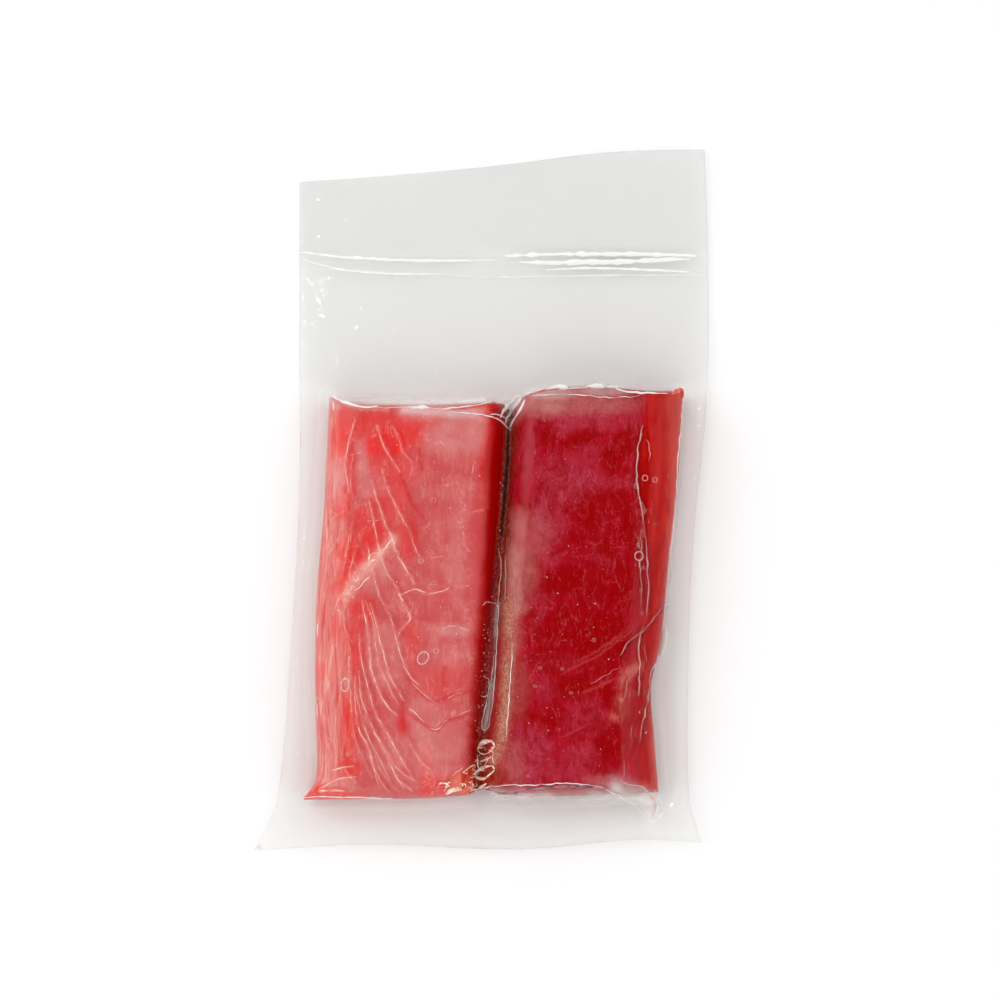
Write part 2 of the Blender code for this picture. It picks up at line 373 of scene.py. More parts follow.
class Fillet:
    """What sets one fillet apart: its edges, thickness, shoulders and the furrows of its flakes."""

    def __init__(self, node, west, east, head, foot, thickness, shoulders, furrows, sag):
        self.node = node
        self.west = west
        self.east = east
        self.head = head
        self.foot = foot
        self.thickness = thickness
        self.west_shoulder, self.east_shoulder, self.end_shoulder = shoulders
        self.furrows = furrows
        self.sag = sag


# Each furrow is (x at the head end, x at the foot end, bow, depth), in millimetres
LEFT_FILLET = Fillet(
    node="fillet_left",
    west=left_outer,
    east=groove_left,
    head=lambda x, y: curve_at(LEFT_HEAD_END, x),
    foot=lambda x, y: curve_at(LEFT_FOOT_END, x),
    thickness=19.5,
    shoulders=(10.5, 9.0, 4.5),
    furrows=((-48, -49, -4, 0.6), (-41, -31, -6, 0.5), (-32, -20, -5, 0.5), (-23, -11, -3, 0.35)),
    sag=0.7,
)
RIGHT_FILLET = Fillet(
    node="fillet_right",
    west=groove_right,
    east=right_outer,
    head=lambda x, y: curve_at(RIGHT_HEAD_END, x),
    foot=lambda x, y: curve_at(RIGHT_FOOT_END, x),
    thickness=21.0,
    shoulders=(9.0, 14.0, 4.5),
    furrows=((51, 45, 3, 0.7), (44, 24, 4, 0.35), (26, 6, 3, 0.3)),
    sag=0.5,
)


def side_inset(fillet, x, y):
    """How far points lie in from the nearer side edge."""
    return np.minimum(x - fillet.west(y), fillet.east(y) - x)


def end_inset(fillet, x, y):
    """How far points lie in from the nearer end."""
    return np.minimum(fillet.head(x, y) - y, y - fillet.foot(x, y))


def rim_inset(fillet, x, y):
    return np.minimum(side_inset(fillet, x, y), end_inset(fillet, x, y))


def crown_height(fillet, x, y):
    """Height of a fillet's smooth top from the floor: round shoulders and a crown that sags in the middle."""
    west, east = fillet.west(y), fillet.east(y)
    head, foot = fillet.head(x, y), fillet.foot(x, y)
    dome = (
        shoulder(x - west, fillet.west_shoulder)
        * shoulder(east - x, fillet.east_shoulder)
        * shoulder(head - y, fillet.end_shoulder)
        * shoulder(y - foot, fillet.end_shoulder)
    )
    across = np.clip((x - west) / (east - west), 0, 1)
    along = np.clip((y - foot) / (head - foot), 0, 1)
    sag = fillet.sag * np.sin(np.pi * across) * np.sin(np.pi * along)
    return OUTLINE_HEIGHT + (FILLET_BASE + fillet.thickness - OUTLINE_HEIGHT - sag) * dome


def furrow_depth(fillet, x, y):
    """How deep the seams between the flakes lie."""
    head, foot = fillet.head(x, y), fillet.foot(x, y)
    down = (head - y) / (head - foot)
    depth = np.zeros(np.shape(x))
    for start, end, bow, deepest in fillet.furrows:
        line = start + (end - start) * down + bow * np.sin(np.pi * np.clip(down, 0, 1))
        depth = np.maximum(depth, deepest * bell(x - line, FURROW_HALF_WIDTH))
    return depth * smoothstep(end_inset(fillet, x, y) / fillet.end_shoulder)


def underside_height(fillet, x, y):
    """Height of the lower face: flat, with its edge rounded up all round."""
    return FILLET_BASE + UNDERCUT_RISE * (1 - shoulder(rim_inset(fillet, x, y), UNDERCUT_RUN))


# Marks on the meat, as pixels of the picture

# White seams between the flakes: (strength, half width in mm, pixels)
LEFT_SEAMS = {
    "edge_fan_a": (0.75, 0.20, ((355, 419), (349, 440), (345, 462), (346, 474), (349, 492))),
    "edge_fan_b": (0.5, 0.15, ((353, 454), (350, 473), (351, 492), (355, 504))),
    "edge_fan_c": (0.6, 0.18, ((352, 522), (348, 543), (344, 563), (341, 577))),
    "edge_fan_d": (0.5, 0.15, ((341, 533), (334, 545), (327, 556))),
    "edge_fan_e": (0.6, 0.18, ((355, 549), (352, 562), (348, 577), (353, 585))),
    "top_hook": (0.6, 0.16, ((392, 426), (396, 432), (400, 443), (402, 452), (412, 462))),
    "upper_a": (0.8, 0.22, ((377, 425), (381, 440), (388, 454), (395, 464), (400, 472))),
    "upper_b": (
        0.7,
        0.20,
        ((382, 470), (385, 481), (390, 495), (396, 506), (404, 522), (410, 530), (414, 547), (420, 558)),
    ),
    "long_a": (
        1.0,
        0.30,
        (
            (371, 480), (375, 495), (381, 511), (385, 525), (392, 537), (395, 549), (399, 558),
            (407, 571), (415, 584),
        ),
    ),
    "long_b": (
        0.9,
        0.24,
        ((369, 501), (373, 517), (375, 529), (378, 547), (381, 556), (385, 570), (393, 582), (401, 596)),
    ),
    "long_c": (0.8, 0.22, ((367, 543), (370, 560), (375, 580), (379, 596), (382, 601))),
    "hook": (
        1.0,
        0.28,
        ((397, 590), (401, 599), (405, 607), (410, 615), (411, 620), (406, 625), (401, 629), (398, 636)),
    ),
    "low_a": (
        1.0,
        0.28,
        (
            (362, 600), (367, 627), (369, 645), (370, 660), (371, 670), (375, 682), (381, 696),
            (388, 708), (396, 714),
        ),
    ),
    "low_b": (
        0.85,
        0.24,
        ((370, 603), (375, 618), (379, 638), (384, 655), (388, 673), (396, 689), (404, 701)),
    ),
    "low_c": (
        0.8,
        0.22,
        ((382, 601), (390, 615), (395, 634), (401, 656), (407, 673), (418, 685)),
    ),
    "low_d": (
        0.8,
        0.22,
        ((359, 634), (360, 655), (364, 671), (369, 692), (376, 716), (385, 730), (395, 748), (404, 764)),
    ),
    "low_e": (
        0.75,
        0.20,
        (
            (359, 671), (360, 696), (366, 712), (374, 732), (385, 748), (393, 764), (404, 775),
            (416, 781),
        ),
    ),
    "low_f": (
        0.8,
        0.22,
        (
            (355, 677), (355, 707), (359, 732), (369, 748), (371, 762), (378, 777), (388, 792),
        ),
    ),
    "low_g": (0.8, 0.22, ((363, 715), (377, 737), (388, 758), (396, 777), (404, 788))),
    "low_h": (0.6, 0.18, ((376, 716), (385, 727), (393, 745), (404, 764), (414, 780))),
    "low_i": (0.55, 0.16, ((374, 751), (378, 766), (385, 778), (399, 792))),
    "low_j": (0.5, 0.15, ((407, 738), (414, 751), (422, 764), (430, 769))),
    "slope_long": (
        0.6,
        0.18,
        ((347, 600), (342, 618), (349, 640), (349, 677), (351, 696), (352, 715), (352, 737)),
    ),
    "low_k": (0.7, 0.18, ((365, 600), (374, 622), (376, 650), (380, 668), (390, 690), (398, 704))),
    "low_l": (0.7, 0.18, ((356, 694), (362, 720), (368, 738), (376, 752), (384, 768), (392, 786))),
    "low_m": (0.6, 0.16, ((366, 740), (372, 756), (374, 772), (380, 788))),
    "low_n": (0.8, 0.30, ((396, 778), (402, 784), (410, 788), (412, 792))),
    "low_o": (0.6, 0.16, ((350, 700), (352, 724), (356, 744), (364, 762), (372, 778))),
    "squiggle": (
        0.95,
        0.24,
        ((401, 595), (408, 591), (417, 588), (426, 594), (434, 593), (445, 591), (449, 588)),
    ),
    "squiggle_end": (0.6, 0.16, ((455, 587), (469, 586))),
    "small_a": (0.45, 0.14, ((469, 514), (476, 511), (484, 510))),
    "small_b": (0.5, 0.15, ((463, 532), (466, 549), (470, 552))),
    "small_c": (0.4, 0.14, ((432, 558), (443, 556))),
    "foot_crease": (1.0, 0.75, ((319, 791), (333, 790), (345, 791))),
    "foot_crease_b": (0.9, 0.36, ((322, 788), (333, 781), (341, 778), (356, 777))),
    "foot_crease_c": (0.8, 0.34, ((332, 770), (344, 767), (353, 766))),
    "foot_crease_d": (0.7, 0.26, ((345, 769), (349, 776), (356, 783))),
}

# Torn fibres and short threads, given in the same way
TORN_FIBRES = (
    (
        0.9,
        0.49,
        ((393, 539), (386, 546), (382, 555), (373, 558), (369, 567), (361, 571), (357, 582), (349, 588)),
    ),
    (0.8, 0.42, ((389, 547), (380, 550), (375, 561), (365, 563), (358, 573))),
    (0.7, 0.38, ((368, 568), (374, 575), (364, 580), (360, 589), (353, 590))),
    (0.8, 0.42, ((357, 579), (351, 590), (345, 596), (343, 606))),
    (0.6, 0.34, ((350, 594), (357, 601), (349, 607))),
    (0.7, 0.38, ((378, 553), (371, 552), (367, 560), (372, 566))),
    (0.6, 0.30, ((347, 588), (339, 597), (335, 609))),
    (0.6, 0.30, ((372, 515), (374, 521), (372, 527))),
    (0.6, 0.22, ((367, 521), (373, 521), (379, 520))),
    (0.6, 0.24, ((439, 631), (446, 627), (453, 625), (462, 628), (470, 631))),
    (0.7, 0.30, ((412, 683), (419, 690), (426, 697), (434, 701))),
    (0.6, 0.27, ((440, 702), (449, 697), (457, 694), (466, 692))),
    (0.7, 0.30, ((409, 709), (415, 712), (420, 719), (427, 724))),
    (0.6, 0.27, ((430, 728), (437, 731), (442, 725), (449, 718))),
    (0.6, 0.24, ((455, 716), (463, 713), (471, 710))),
    (0.5, 0.22, ((456, 424), (460, 430), (464, 436))),
    (0.5, 0.22, ((470, 458), (474, 466), (472, 474))),
    (0.4, 0.19, ((436, 485), (443, 486), (450, 485))),
    (0.4, 0.19, ((430, 500), (434, 497), (438, 500), (434, 503))),
    (0.4, 0.19, ((434, 444), (440, 441), (446, 446))),
    (0.4, 0.19, ((330, 520), (338, 514), (346, 510))),
    (0.5, 0.22, ((326, 560), (334, 548), (342, 536), (348, 528))),
    (0.5, 0.22, ((340, 574), (344, 560), (350, 545), (352, 532))),
    (0.6, 0.24, ((333, 560), (336, 568), (334, 576))),
    (0.6, 0.24, ((362, 452), (356, 454), (350, 455))),
)

# Curls of torn fibre along the torn band: how many, how far they stray in pixels, and their seed
TORN_CURLS = (44, 3.2, 29)
# The same for the foam between the feet of the fillets, and the trail that it follows
FOAM_CURLS = (30, 4.5, 43)
# The least and most that a curl turns, how far round it reaches in pixels and its half width in millimetres
CURL_TURN = (1.5, 4.0)
CURL_REACH = (1.2, 3.0)
CURL_WIDTH = (0.12, 0.28)
FOAM_TRAIL = ((440, 794), (456, 788), (470, 782), (478, 772), (484, 760), (489, 746))


def scattered_curls(trail, count, spread, seed):
    """Short curled fibres scattered along a trail, thicker or thinner by chance."""
    rng = np.random.default_rng(seed)
    band = np.array(trail, float)
    spots = np.arange(len(band))
    paths = []
    for where in np.sort(rng.uniform(0.0, 1.0, count)) * (len(band) - 1):
        x = np.interp(where, spots, band[:, 0]) + rng.normal(0, spread)
        y = np.interp(where, spots, band[:, 1]) + rng.normal(0, spread)
        turn = rng.uniform(0, 2 * np.pi) + np.linspace(0, rng.uniform(*CURL_TURN), 5)
        reach = rng.uniform(*CURL_REACH)
        curl = np.stack([x + reach * np.cos(turn), y + reach * np.sin(turn)], axis=-1)
        paths.append((1.0, rng.uniform(*CURL_WIDTH), curl))
    return paths


LEFT_TORN_EDGES = {
    "torn_a": ((410, 678), (419, 688), (427, 697), (441, 699), (452, 693), (473, 688)),
    "torn_b": ((408, 710), (419, 718), (432, 727), (437, 729), (445, 719), (471, 712)),
}
TORN_BAND = ((392, 540), (377, 558), (362, 570), (354, 582), (345, 596))
# Creases between the flakes: sunk in the relief, with their shade painted darker on the meat
DARK_CREASES = {
    "under_flake": ((400, 474), (407, 492), (415, 508), (423, 518)),
    "by_edge": ((419, 448), (423, 473)),
    "left_root": ((372, 520), (380, 545), (392, 565)),
}
# Borders between tones: (row, column) stations from the head down
BAND_BORDER = (
    (426, 494), (467, 486), (489, 488), (508, 486), (536, 484), (563, 483), (596, 482), (641, 477),
    (677, 476), (710, 474), (751, 470), (790, 470),
)
SLOPE_BORDER = ((394, 336), (440, 344), (500, 350), (560, 352), (640, 352), (720, 354), (795, 350))
CREASE_LINE = (
    (388, 645), (425, 642), (440, 639), (460, 637), (485, 637), (501, 640), (522, 643), (543, 646),
    (556, 647), (577, 648), (600, 649), (626, 643), (645, 639), (669, 640), (696, 640), (721, 642),
    (744, 639), (790, 640),
)


def at_row(stations, row):
    """The column of a border at each row of the picture."""
    rows, columns = zip(*stations)
    return np.interp(row, rows, columns)


def left_relief(x, y, column, row):
    """Ridges of the white seams, torn flake edges and the meat's own unevenness, in millimetres."""
    column, row = ragged_pixels(x, y, column, row)
    relief = LEFT_SWELL * clouds(x, y, 9.0, 11) + MEAT_GRAIN * clouds(x, y, 1.9, 17)
    relief = relief + MEAT_GRAIN * cloud(x - 0.25 * y, y * 0.12, 1.1, 23)
    for strength, _, path in LEFT_SEAMS.values():
        relief = relief + SEAM_RIDGE * strength * near_path(column, row, path, SEAM_RIDGE_REACH)
    for path in LEFT_TORN_EDGES.values():
        distance, _, side = along_path(column, row, path)
        fade = bell(np.maximum(distance - 4, 0), 14)
        relief = relief + TORN_STEP * fade * (smoothstep(0.5 - side * distance / 4) - 0.5)
    rough = near_path(column, row, TORN_BAND, 5.0)
    relief = relief + rough * (TORN_RIDGE + TORN_RUFFLE * clouds(x, y, 1.3, 31))
    for path in DARK_CREASES.values():
        relief = relief - CREASE_DEPTH * near_path(column, row, path, SEAM_RIDGE_REACH, 0.6)
    return relief


def right_relief(x, y):
    """The darker meat's own unevenness, with a fine grain across it."""
    relief = RIGHT_SWELL * clouds(x, y, 11.0, 41) + MEAT_GRAIN * clouds(x, y, 2.2, 43)
    return relief + MEAT_GRAIN * cloud((x + y) * 0.7, (x - y) * 0.16, 1.3, 47)


def flesh_top(fillet, x, y):
    """Height of the meat's detailed top."""
    crown = crown_height(fillet, x, y)
    if fillet is LEFT_FILLET:
        relief = left_relief(x, y, *picture_at(x, y, crown))
    else:
        relief = right_relief(x, y)
    return crown - furrow_depth(fillet, x, y) + relief * smoothstep(rim_inset(fillet, x, y) / RELIEF_EASE)


# Marks on the film and under it, as pixels of the picture

# Lines, here and below: (strength, half width in mm, pixels)
# Creases of the front film over the dark fillet: real folds, drawn pinkish white as a painted highlight
FILM_CREASES = (
    (1.0, 0.26, ((642, 426), (639, 440), (637, 460), (637, 485), (640, 501), (643, 511), (643, 522))),
    (0.9, 0.22, ((643, 522), (646, 543), (647, 556), (648, 577), (649, 600), (646, 614))),
    (0.8, 0.20, ((640, 536), (643, 547), (640, 559), (640, 571), (642, 591), (641, 606))),
    (0.9, 0.24, ((643, 626), (640, 636), (638, 645), (640, 656), (640, 669), (639, 682), (639, 696))),
    (0.5, 0.16, ((644, 645), (646, 654), (646, 662))),
    (0.9, 0.22, ((668, 600), (662, 608), (655, 616), (648, 626), (642, 633), (628, 642), (620, 655))),
    (0.9, 0.24, ((660, 658), (655, 664), (651, 670), (650, 683), (649, 696), (643, 721), (639, 744))),
    (0.6, 0.16, ((632, 725), (632, 731), (631, 738))),
    (0.6, 0.16, ((625, 760), (624, 769), (623, 778))),
    (0.5, 0.14, ((640, 667), (631, 676), (626, 682), (628, 690), (622, 699), (619, 712))),
    (0.6, 0.16, ((646, 440), (650, 444), (647, 449), (652, 454), (649, 460))),
    (0.6, 0.16, ((640, 503), (645, 501), (641, 508), (646, 506), (642, 513), (647, 511), (643, 517))),
    (0.6, 0.16, ((636, 536), (641, 541), (637, 546), (642, 550))),
    (0.5, 0.14, ((618, 668), (608, 674), (598, 679), (590, 684))),
)

# White strands along the film's folds at the fillets' head edges: the folds are real, their whiteness a
# painted highlight. The star, foot and side lines below are the same
HEAD_FOLD_GLINTS = (
    (1.0, 0.50, ((329, 394), (338, 400), (351, 405), (364, 407), (378, 407))),
    (0.8, 0.32, ((374, 407), (389, 408), (406, 407), (415, 408))),
    (1.0, 0.75, ((411, 408), (418, 407), (425, 407), (432, 408))),
    (0.8, 0.34, ((432, 409), (446, 409), (456, 408), (470, 406), (484, 404), (497, 401))),
    (0.8, 0.24, ((448, 412), (463, 413), (478, 414), (488, 416), (496, 419), (503, 423))),
    (1.0, 0.42, ((523, 397), (530, 393), (539, 391), (548, 389), (556, 389))),
    (1.0, 1.25, ((545, 390), (556, 388), (568, 388))),
    (0.8, 0.34, ((566, 389), (576, 388), (588, 388))),
    (1.0, 1.40, ((586, 387), (597, 387), (606, 387), (618, 388))),
    (0.9, 0.42, ((616, 389), (628, 392), (642, 393), (656, 393), (668, 394))),
    (0.7, 0.22, ((532, 396), (554, 394), (576, 394), (599, 397), (617, 398), (640, 396))),
    (1.0, 0.55, ((672, 393), (677, 389), (681, 388), (684, 392), (683, 399))),
)

STAR_FOLD_GLINTS = (
    (1.0, 0.80, ((500, 417), (504, 410), (509, 404), (515, 398), (521, 396))),
    (1.0, 0.64, ((505, 423), (509, 415), (514, 408), (519, 402), (522, 397))),
    (1.0, 0.48, ((510, 428), (514, 420), (519, 412), (523, 404), (525, 399))),
    (0.8, 0.36, ((499, 402), (506, 400), (514, 397), (523, 395))),
    (0.8, 0.34, ((496, 418), (502, 422), (507, 427), (511, 431))),
    (0.7, 0.30, ((490, 415), (498, 414), (505, 417), (510, 421))),
)

FOOT_FOLD_GLINTS = (
    (0.9, 0.28, ((303, 797), (320, 797), (345, 797), (369, 797), (388, 799), (414, 799), (441, 799))),
    (0.9, 0.26, ((441, 799), (453, 798), (464, 796), (475, 793), (484, 789), (492, 787))),
    (0.8, 0.20, ((492, 787), (510, 785), (539, 785), (562, 783), (592, 785), (606, 789))),
    (1.0, 0.30, ((606, 789), (615, 794), (624, 799), (633, 803), (639, 807), (644, 815))),
    (1.0, 0.30, ((655, 790), (660, 799), (662, 807), (660, 814), (655, 819))),
    (0.8, 0.22, ((624, 783), (634, 786), (644, 787), (650, 795), (654, 804))),
    (0.7, 0.22, ((644, 815), (650, 819), (656, 818))),
)

SIDE_FOLD_GLINTS = (
    (0.9, 0.34, ((318, 624), (317, 630), (318, 636))),
    (1.0, 0.42, ((317, 696), (316, 703), (317, 710), (318, 717))),
    (0.8, 0.22, ((330, 396), (334, 404), (333, 410))),
    (0.9, 0.30, ((683, 396), (681, 425), (678, 454), (677, 475), (676, 495))),
    (0.9, 0.32, ((676, 495), (674, 520), (672, 543), (669, 550), (672, 563), (671, 584), (668, 600))),
)

# White lines along the seal's ribs: the welds, with a painted highlight along each
SEAL_RIB_GLINTS = (
    (1.0, 0.62, ((299, 253), (306, 252), (330, 256), (358, 258), (400, 260), (442, 261), (496, 260))),
    (0.9, 0.50, ((303, 259), (314, 263), (325, 266), (341, 270), (366, 272), (393, 274), (439, 274))),
    (1.5, 0.85, ((505, 256), (523, 255), (560, 254), (600, 254), (650, 254), (696, 256))),
    (1.5, 0.80, ((520, 262), (545, 263), (575, 262), (620, 262), (658, 260), (690, 259))),
    (1.0, 0.60, ((545, 270), (575, 268), (610, 268), (656, 270), (690, 272))),
    (0.6, 0.36, ((439, 274), (480, 277), (504, 277), (560, 276), (620, 275), (704, 275))),
)

# Rims of bubbles, drawn as pale rings of painted reflection: (column, row, half length and half width in mm,
# turn in degrees)
BUBBLES = (
    (423, 658, 2.2, 1.7, 60), (436, 651, 0.9, 0.7, 0), (421, 561, 0.8, 0.8, 0),
    (345, 685, 2.1, 1.3, 85), (349, 754, 0.7, 0.6, 0), (639, 556, 1.4, 1.5, 0),
    (645, 478, 0.9, 1.0, 0), (655, 480, 0.9, 0.8, 40), (540, 668, 0.5, 0.4, 0),
    (562, 669, 0.5, 0.4, 0), (535, 686, 0.5, 0.4, 0), (571, 693, 0.5, 0.4, 0),
    (594, 640, 0.5, 0.6, 20), (528, 776, 0.4, 0.4, 0),
    (636, 486, 0.6, 0.8, 0), (641, 503, 0.5, 0.4, 30), (645, 511, 0.4, 0.5, 0),
    (655, 524, 0.4, 0.4, 0), (642, 531, 0.5, 0.4, 50), (638, 545, 0.5, 0.6, 0),
    (643, 568, 0.4, 0.5, 0), (641, 590, 0.5, 0.4, 20), (642, 613, 0.4, 0.6, 0),
    (668, 582, 0.4, 0.6, 0), (666, 596, 0.4, 0.5, 0), (667, 608, 0.4, 0.7, 0),
)

# Scraps of fat and foam between the fillets' feet, opaque and white
SCRAPS = (
    (1.0, 0.72, ((477, 750), (480, 744), (487, 740), (494, 742), (495, 746))),
    (1.0, 0.50, ((495, 746), (491, 751), (484, 755), (478, 753), (477, 750))),
    (1.0, 0.68, ((473, 775), (479, 769), (486, 767), (493, 764), (495, 769))),
    (1.0, 0.52, ((494, 770), (488, 777), (480, 780), (474, 777))),
    (0.9, 0.60, ((479, 762), (485, 761), (491, 757))),
    (0.9, 0.55, ((486, 783), (481, 788), (474, 789))),
    (0.9, 0.36, ((477, 754), (479, 759), (477, 765), (480, 770))),
    (0.8, 0.30, ((494, 753), (492, 759), (495, 764))),
    (0.8, 0.28, ((484, 758), (488, 756), (489, 761), (485, 763))),
    (0.9, 0.34, ((463, 773), (468, 768), (473, 763), (477, 766), (472, 770))),
    (0.8, 0.30, ((471, 781), (474, 786), (471, 790))),
    (1.0, 1.15, ((446, 794), (451, 791), (456, 789), (462, 789))),
    (0.8, 0.40, ((438, 784), (445, 782), (450, 786))),
    (0.7, 0.26, ((452, 776), (458, 772), (463, 767))),
    (0.7, 0.28, ((470, 792), (478, 789), (486, 788), (492, 785))),
    (0.7, 0.22, ((482, 606), (489, 600), (497, 604))),
    (0.8, 0.20, ((481, 696), (486, 699), (489, 692))),
    (0.8, 0.20, ((483, 676), (487, 680), (491, 677), (488, 684))),
)

# Outlines of the long air bubble in the groove, and other sharp folds over dark meat, whitened as painted
# highlights
GROOVE_LINES = (
    (0.9, 0.22, ((499, 602), (498, 618), (497, 640), (496, 660), (495, 676), (493, 700), (490, 718))),
    (1.0, 0.26, ((490, 718), (489, 726), (486, 731), (482, 731), (481, 725), (484, 714), (487, 700))),
    (0.7, 0.18, ((487, 700), (490, 684), (493, 670), (494, 655))),
    (0.9, 0.20, ((512, 642), (512, 660), (510, 684), (508, 712), (506, 738))),
    (0.8, 0.18, ((498, 548), (501, 560), (501, 575), (499, 590), (498, 602))),
    (0.7, 0.16, ((505, 556), (506, 570), (505, 585), (505, 600))),
)

# Pockets of air where the film stands clear of the meat's right edge, drawn pale as a painted reflection
EDGE_POCKETS = (
    (1.0, 1.1, ((665, 627), (664, 638), (663, 648), (660, 657))),
    (0.8, 0.45, ((660, 657), (655, 664), (651, 671))),
)

CORNER_JUICE = (
    (1.0, 1.0, ((671, 395), (677, 391), (681, 388), (683, 392), (681, 399))),
    (0.8, 0.5, ((448, 409), (465, 408), (482, 406), (498, 402))),
    (0.8, 0.5, ((531, 394), (546, 390), (560, 389))),
    (0.6, 0.4, ((303, 797), (314, 791), (325, 783))),
    (0.7, 0.5, ((645, 790), (652, 797), (656, 806), (652, 816))),
)

FOOT_JUICE = (
    (1.0, 0.8, ((488, 787), (493, 790), (498, 792), (508, 793), (518, 793))),
    (0.8, 0.5, ((518, 789), (532, 789), (546, 788), (560, 787))),
    (1.0, 0.8, ((552, 787), (566, 786), (585, 786), (600, 787), (607, 788))),
)

# White patches of the front film, mostly painted highlights on its head edges, star and bubbles, some milky
# haze: (strength, middle, reach) in pixels
FILM_GLINT_AND_HAZE_PATCHES = (
    (1.2, (336, 402), (8, 8)), (1.6, (552, 393), (24, 6)), (0.7, (512, 409), (12, 14)),
    (1.6, (604, 391), (24, 5)), (0.5, (455, 630), (15, 6)), (0.8, (345, 685), (5, 8)),
    (0.6, (423, 658), (7, 8)),
)
# White lines of the front film, painted highlights and reflections on its head edges, foot face, foot tent
# and the groove's bubble: (strength, half width in pixels, pixels)
FILM_GLINT_AND_HAZE_LINES = (
    (2.2, 4.5, ((404, 410), (424, 411), (446, 413), (474, 414))),
    (3.0, 2.6, ((346, 402), (370, 403), (400, 403), (430, 403), (460, 402), (484, 400))),
    (3.6, 9.0, ((618, 789), (634, 793), (648, 801), (653, 814))),
    (2.8, 6.5, ((498, 794), (530, 796), (570, 795), (610, 796), (640, 798))),
    (2.0, 2.2, ((498, 604), (496, 618), (496, 636))),
    (1.2, 1.6, ((496, 636), (495, 660), (493, 680))),
    (2.6, 2.6, ((492, 684), (490, 702), (487, 718), (485, 727))),
)


# The film's form


def gap_to_fillets(x, y):
    """Distance in plan from the pair of fillets, 0 over them."""
    beside = np.maximum(np.maximum(left_outer(y) - x, x - right_outer(y)), 0.0)
    beyond = np.maximum(np.maximum(fillet_foot(x, y) - y, y - fillet_head(x, y)), 0.0)
    return np.hypot(beside, beyond)


def rib_height(y):
    into_seal = (y - SEAL_START) / RIB_PITCH
    inside = (into_seal > 0) & (into_seal < SEAL_RIBS)
    return np.where(inside, RIB_HEIGHT * np.sin(np.pi * (into_seal % 1.0)), 0.0)


def back_sheet(x, y):
    """Flat under the fillets, with margins that stand off the floor, wave a little and lift at corners."""
    gap = gap_to_fillets(x, y)
    rise = MARGIN_RISE * smoothstep(gap / MARGIN_RUN)
    sag = smoothstep((y - fillet_head(x, y) - MARGIN_RUN) / HEADER_SAG_RUN)
    rise = rise + (HEADER_REST - MARGIN_RISE) * sag
    free = smoothstep(gap / (2 * MARGIN_RUN))
    wave = np.sin(x / WAVE_ACROSS + y / WAVE_SKEW) * np.sin(y / WAVE_ALONG - WAVE_SHIFT)
    rise = rise + WAVE_HEIGHT * wave * free
    rise = rise + DIMPLE_HEIGHT * clouds(x, y * 0.7, DIMPLE_SIZE, 61) * free
    for corner_x, corner_y in LIFTED_CORNERS:
        reach = np.hypot(x - corner_x, y - corner_y)
        rise = rise + CORNER_LIFT * bell(reach, CORNER_REACH) * free
    return np.maximum(rise, 0) + rib_height(y) + FILM_REST


def front_sheet(x, y):
    """Tight over the fillets, bridging their groove, and tented down to the back sheet all round."""
    on_back = back_sheet(x, y) + FILM_GAP
    outline = OUTLINE_HEIGHT + DRAPE_GAP
    gap = gap_to_fillets(x, y)
    tented = np.maximum(on_back, outline + (on_back - outline) * smoothstep(gap / TENT_RUN))
    is_left = x < groove(y)
    to_head, to_foot = fillet_head(x, y) - y, y - fillet_foot(x, y)
    inset = np.minimum(to_head, to_foot)
    inward = np.where(to_foot < to_head, 1.0, -1.0)

    def of_fillet(measure, along):
        return np.where(is_left, measure(LEFT_FILLET, x, along), measure(RIGHT_FILLET, x, along))

    crown = of_fillet(crown_height, y + END_EASE * smoothstep(1 - inset / END_REACH) * inward)
    smooth = crown + DRAPE_GAP - FURROW_SHARE * of_fillet(furrow_depth, y) + film_wrinkles(x, y)
    draped = np.maximum(smooth, of_fillet(flesh_top, y) + FILM_CLEAR)
    bridge = outline + (BRIDGE_HEIGHT - outline) * shoulder(inset, BRIDGE_END_RUN)
    bridge = bridge + BRIDGE_RIPPLE * cloud(x, y, 5.0, 71)
    near_groove = smoothstep(2 - np.abs(x - groove(y)) / BRIDGE_REACH)
    bridged = draped + (soft_max(draped, bridge, BRIDGE_BLEND) - draped) * near_groove
    return np.where(gap > 0, tented, bridged)


def film_wrinkles(x, y):
    """Small unevenness of a film drawn tight over wet meat."""
    return 0.05 * clouds(x, y, 4.0, 81) + 0.035 * cloud(x, y * 0.4, 1.6, 87)


# Meshes


def even(cuts):
    return np.arange(cuts) / cuts


def crowded(cuts):
    """Shares of the way across a fillet, closer together near the ends, where its shoulders turn."""
    s = np.arange(cuts) / cuts
    return 0.5 * s + 0.5 * (1 - np.cos(np.pi * s)) / 2


def net(column_spans, row_spans):
    """Plan points of a net: spans are (edge, edge, shares of the way between them)."""
    parts = []
    for low, high, along in row_spans:
        strips = []
        for west, east, across in column_spans:
            s, t = np.meshgrid(across, along)
            x, y = np.zeros(s.shape), np.zeros(s.shape)
            for _ in range(7):
                x = west(y) * (1 - s) + east(y) * s
                y = low(x, y) * (1 - t) + high(x, y) * t
            strips.append(np.stack([x, y], axis=-1))
        parts.append(np.concatenate(strips, axis=1))
    return np.concatenate(parts, axis=0)


def with_far_end(shares):
    return np.append(shares, 1.0)


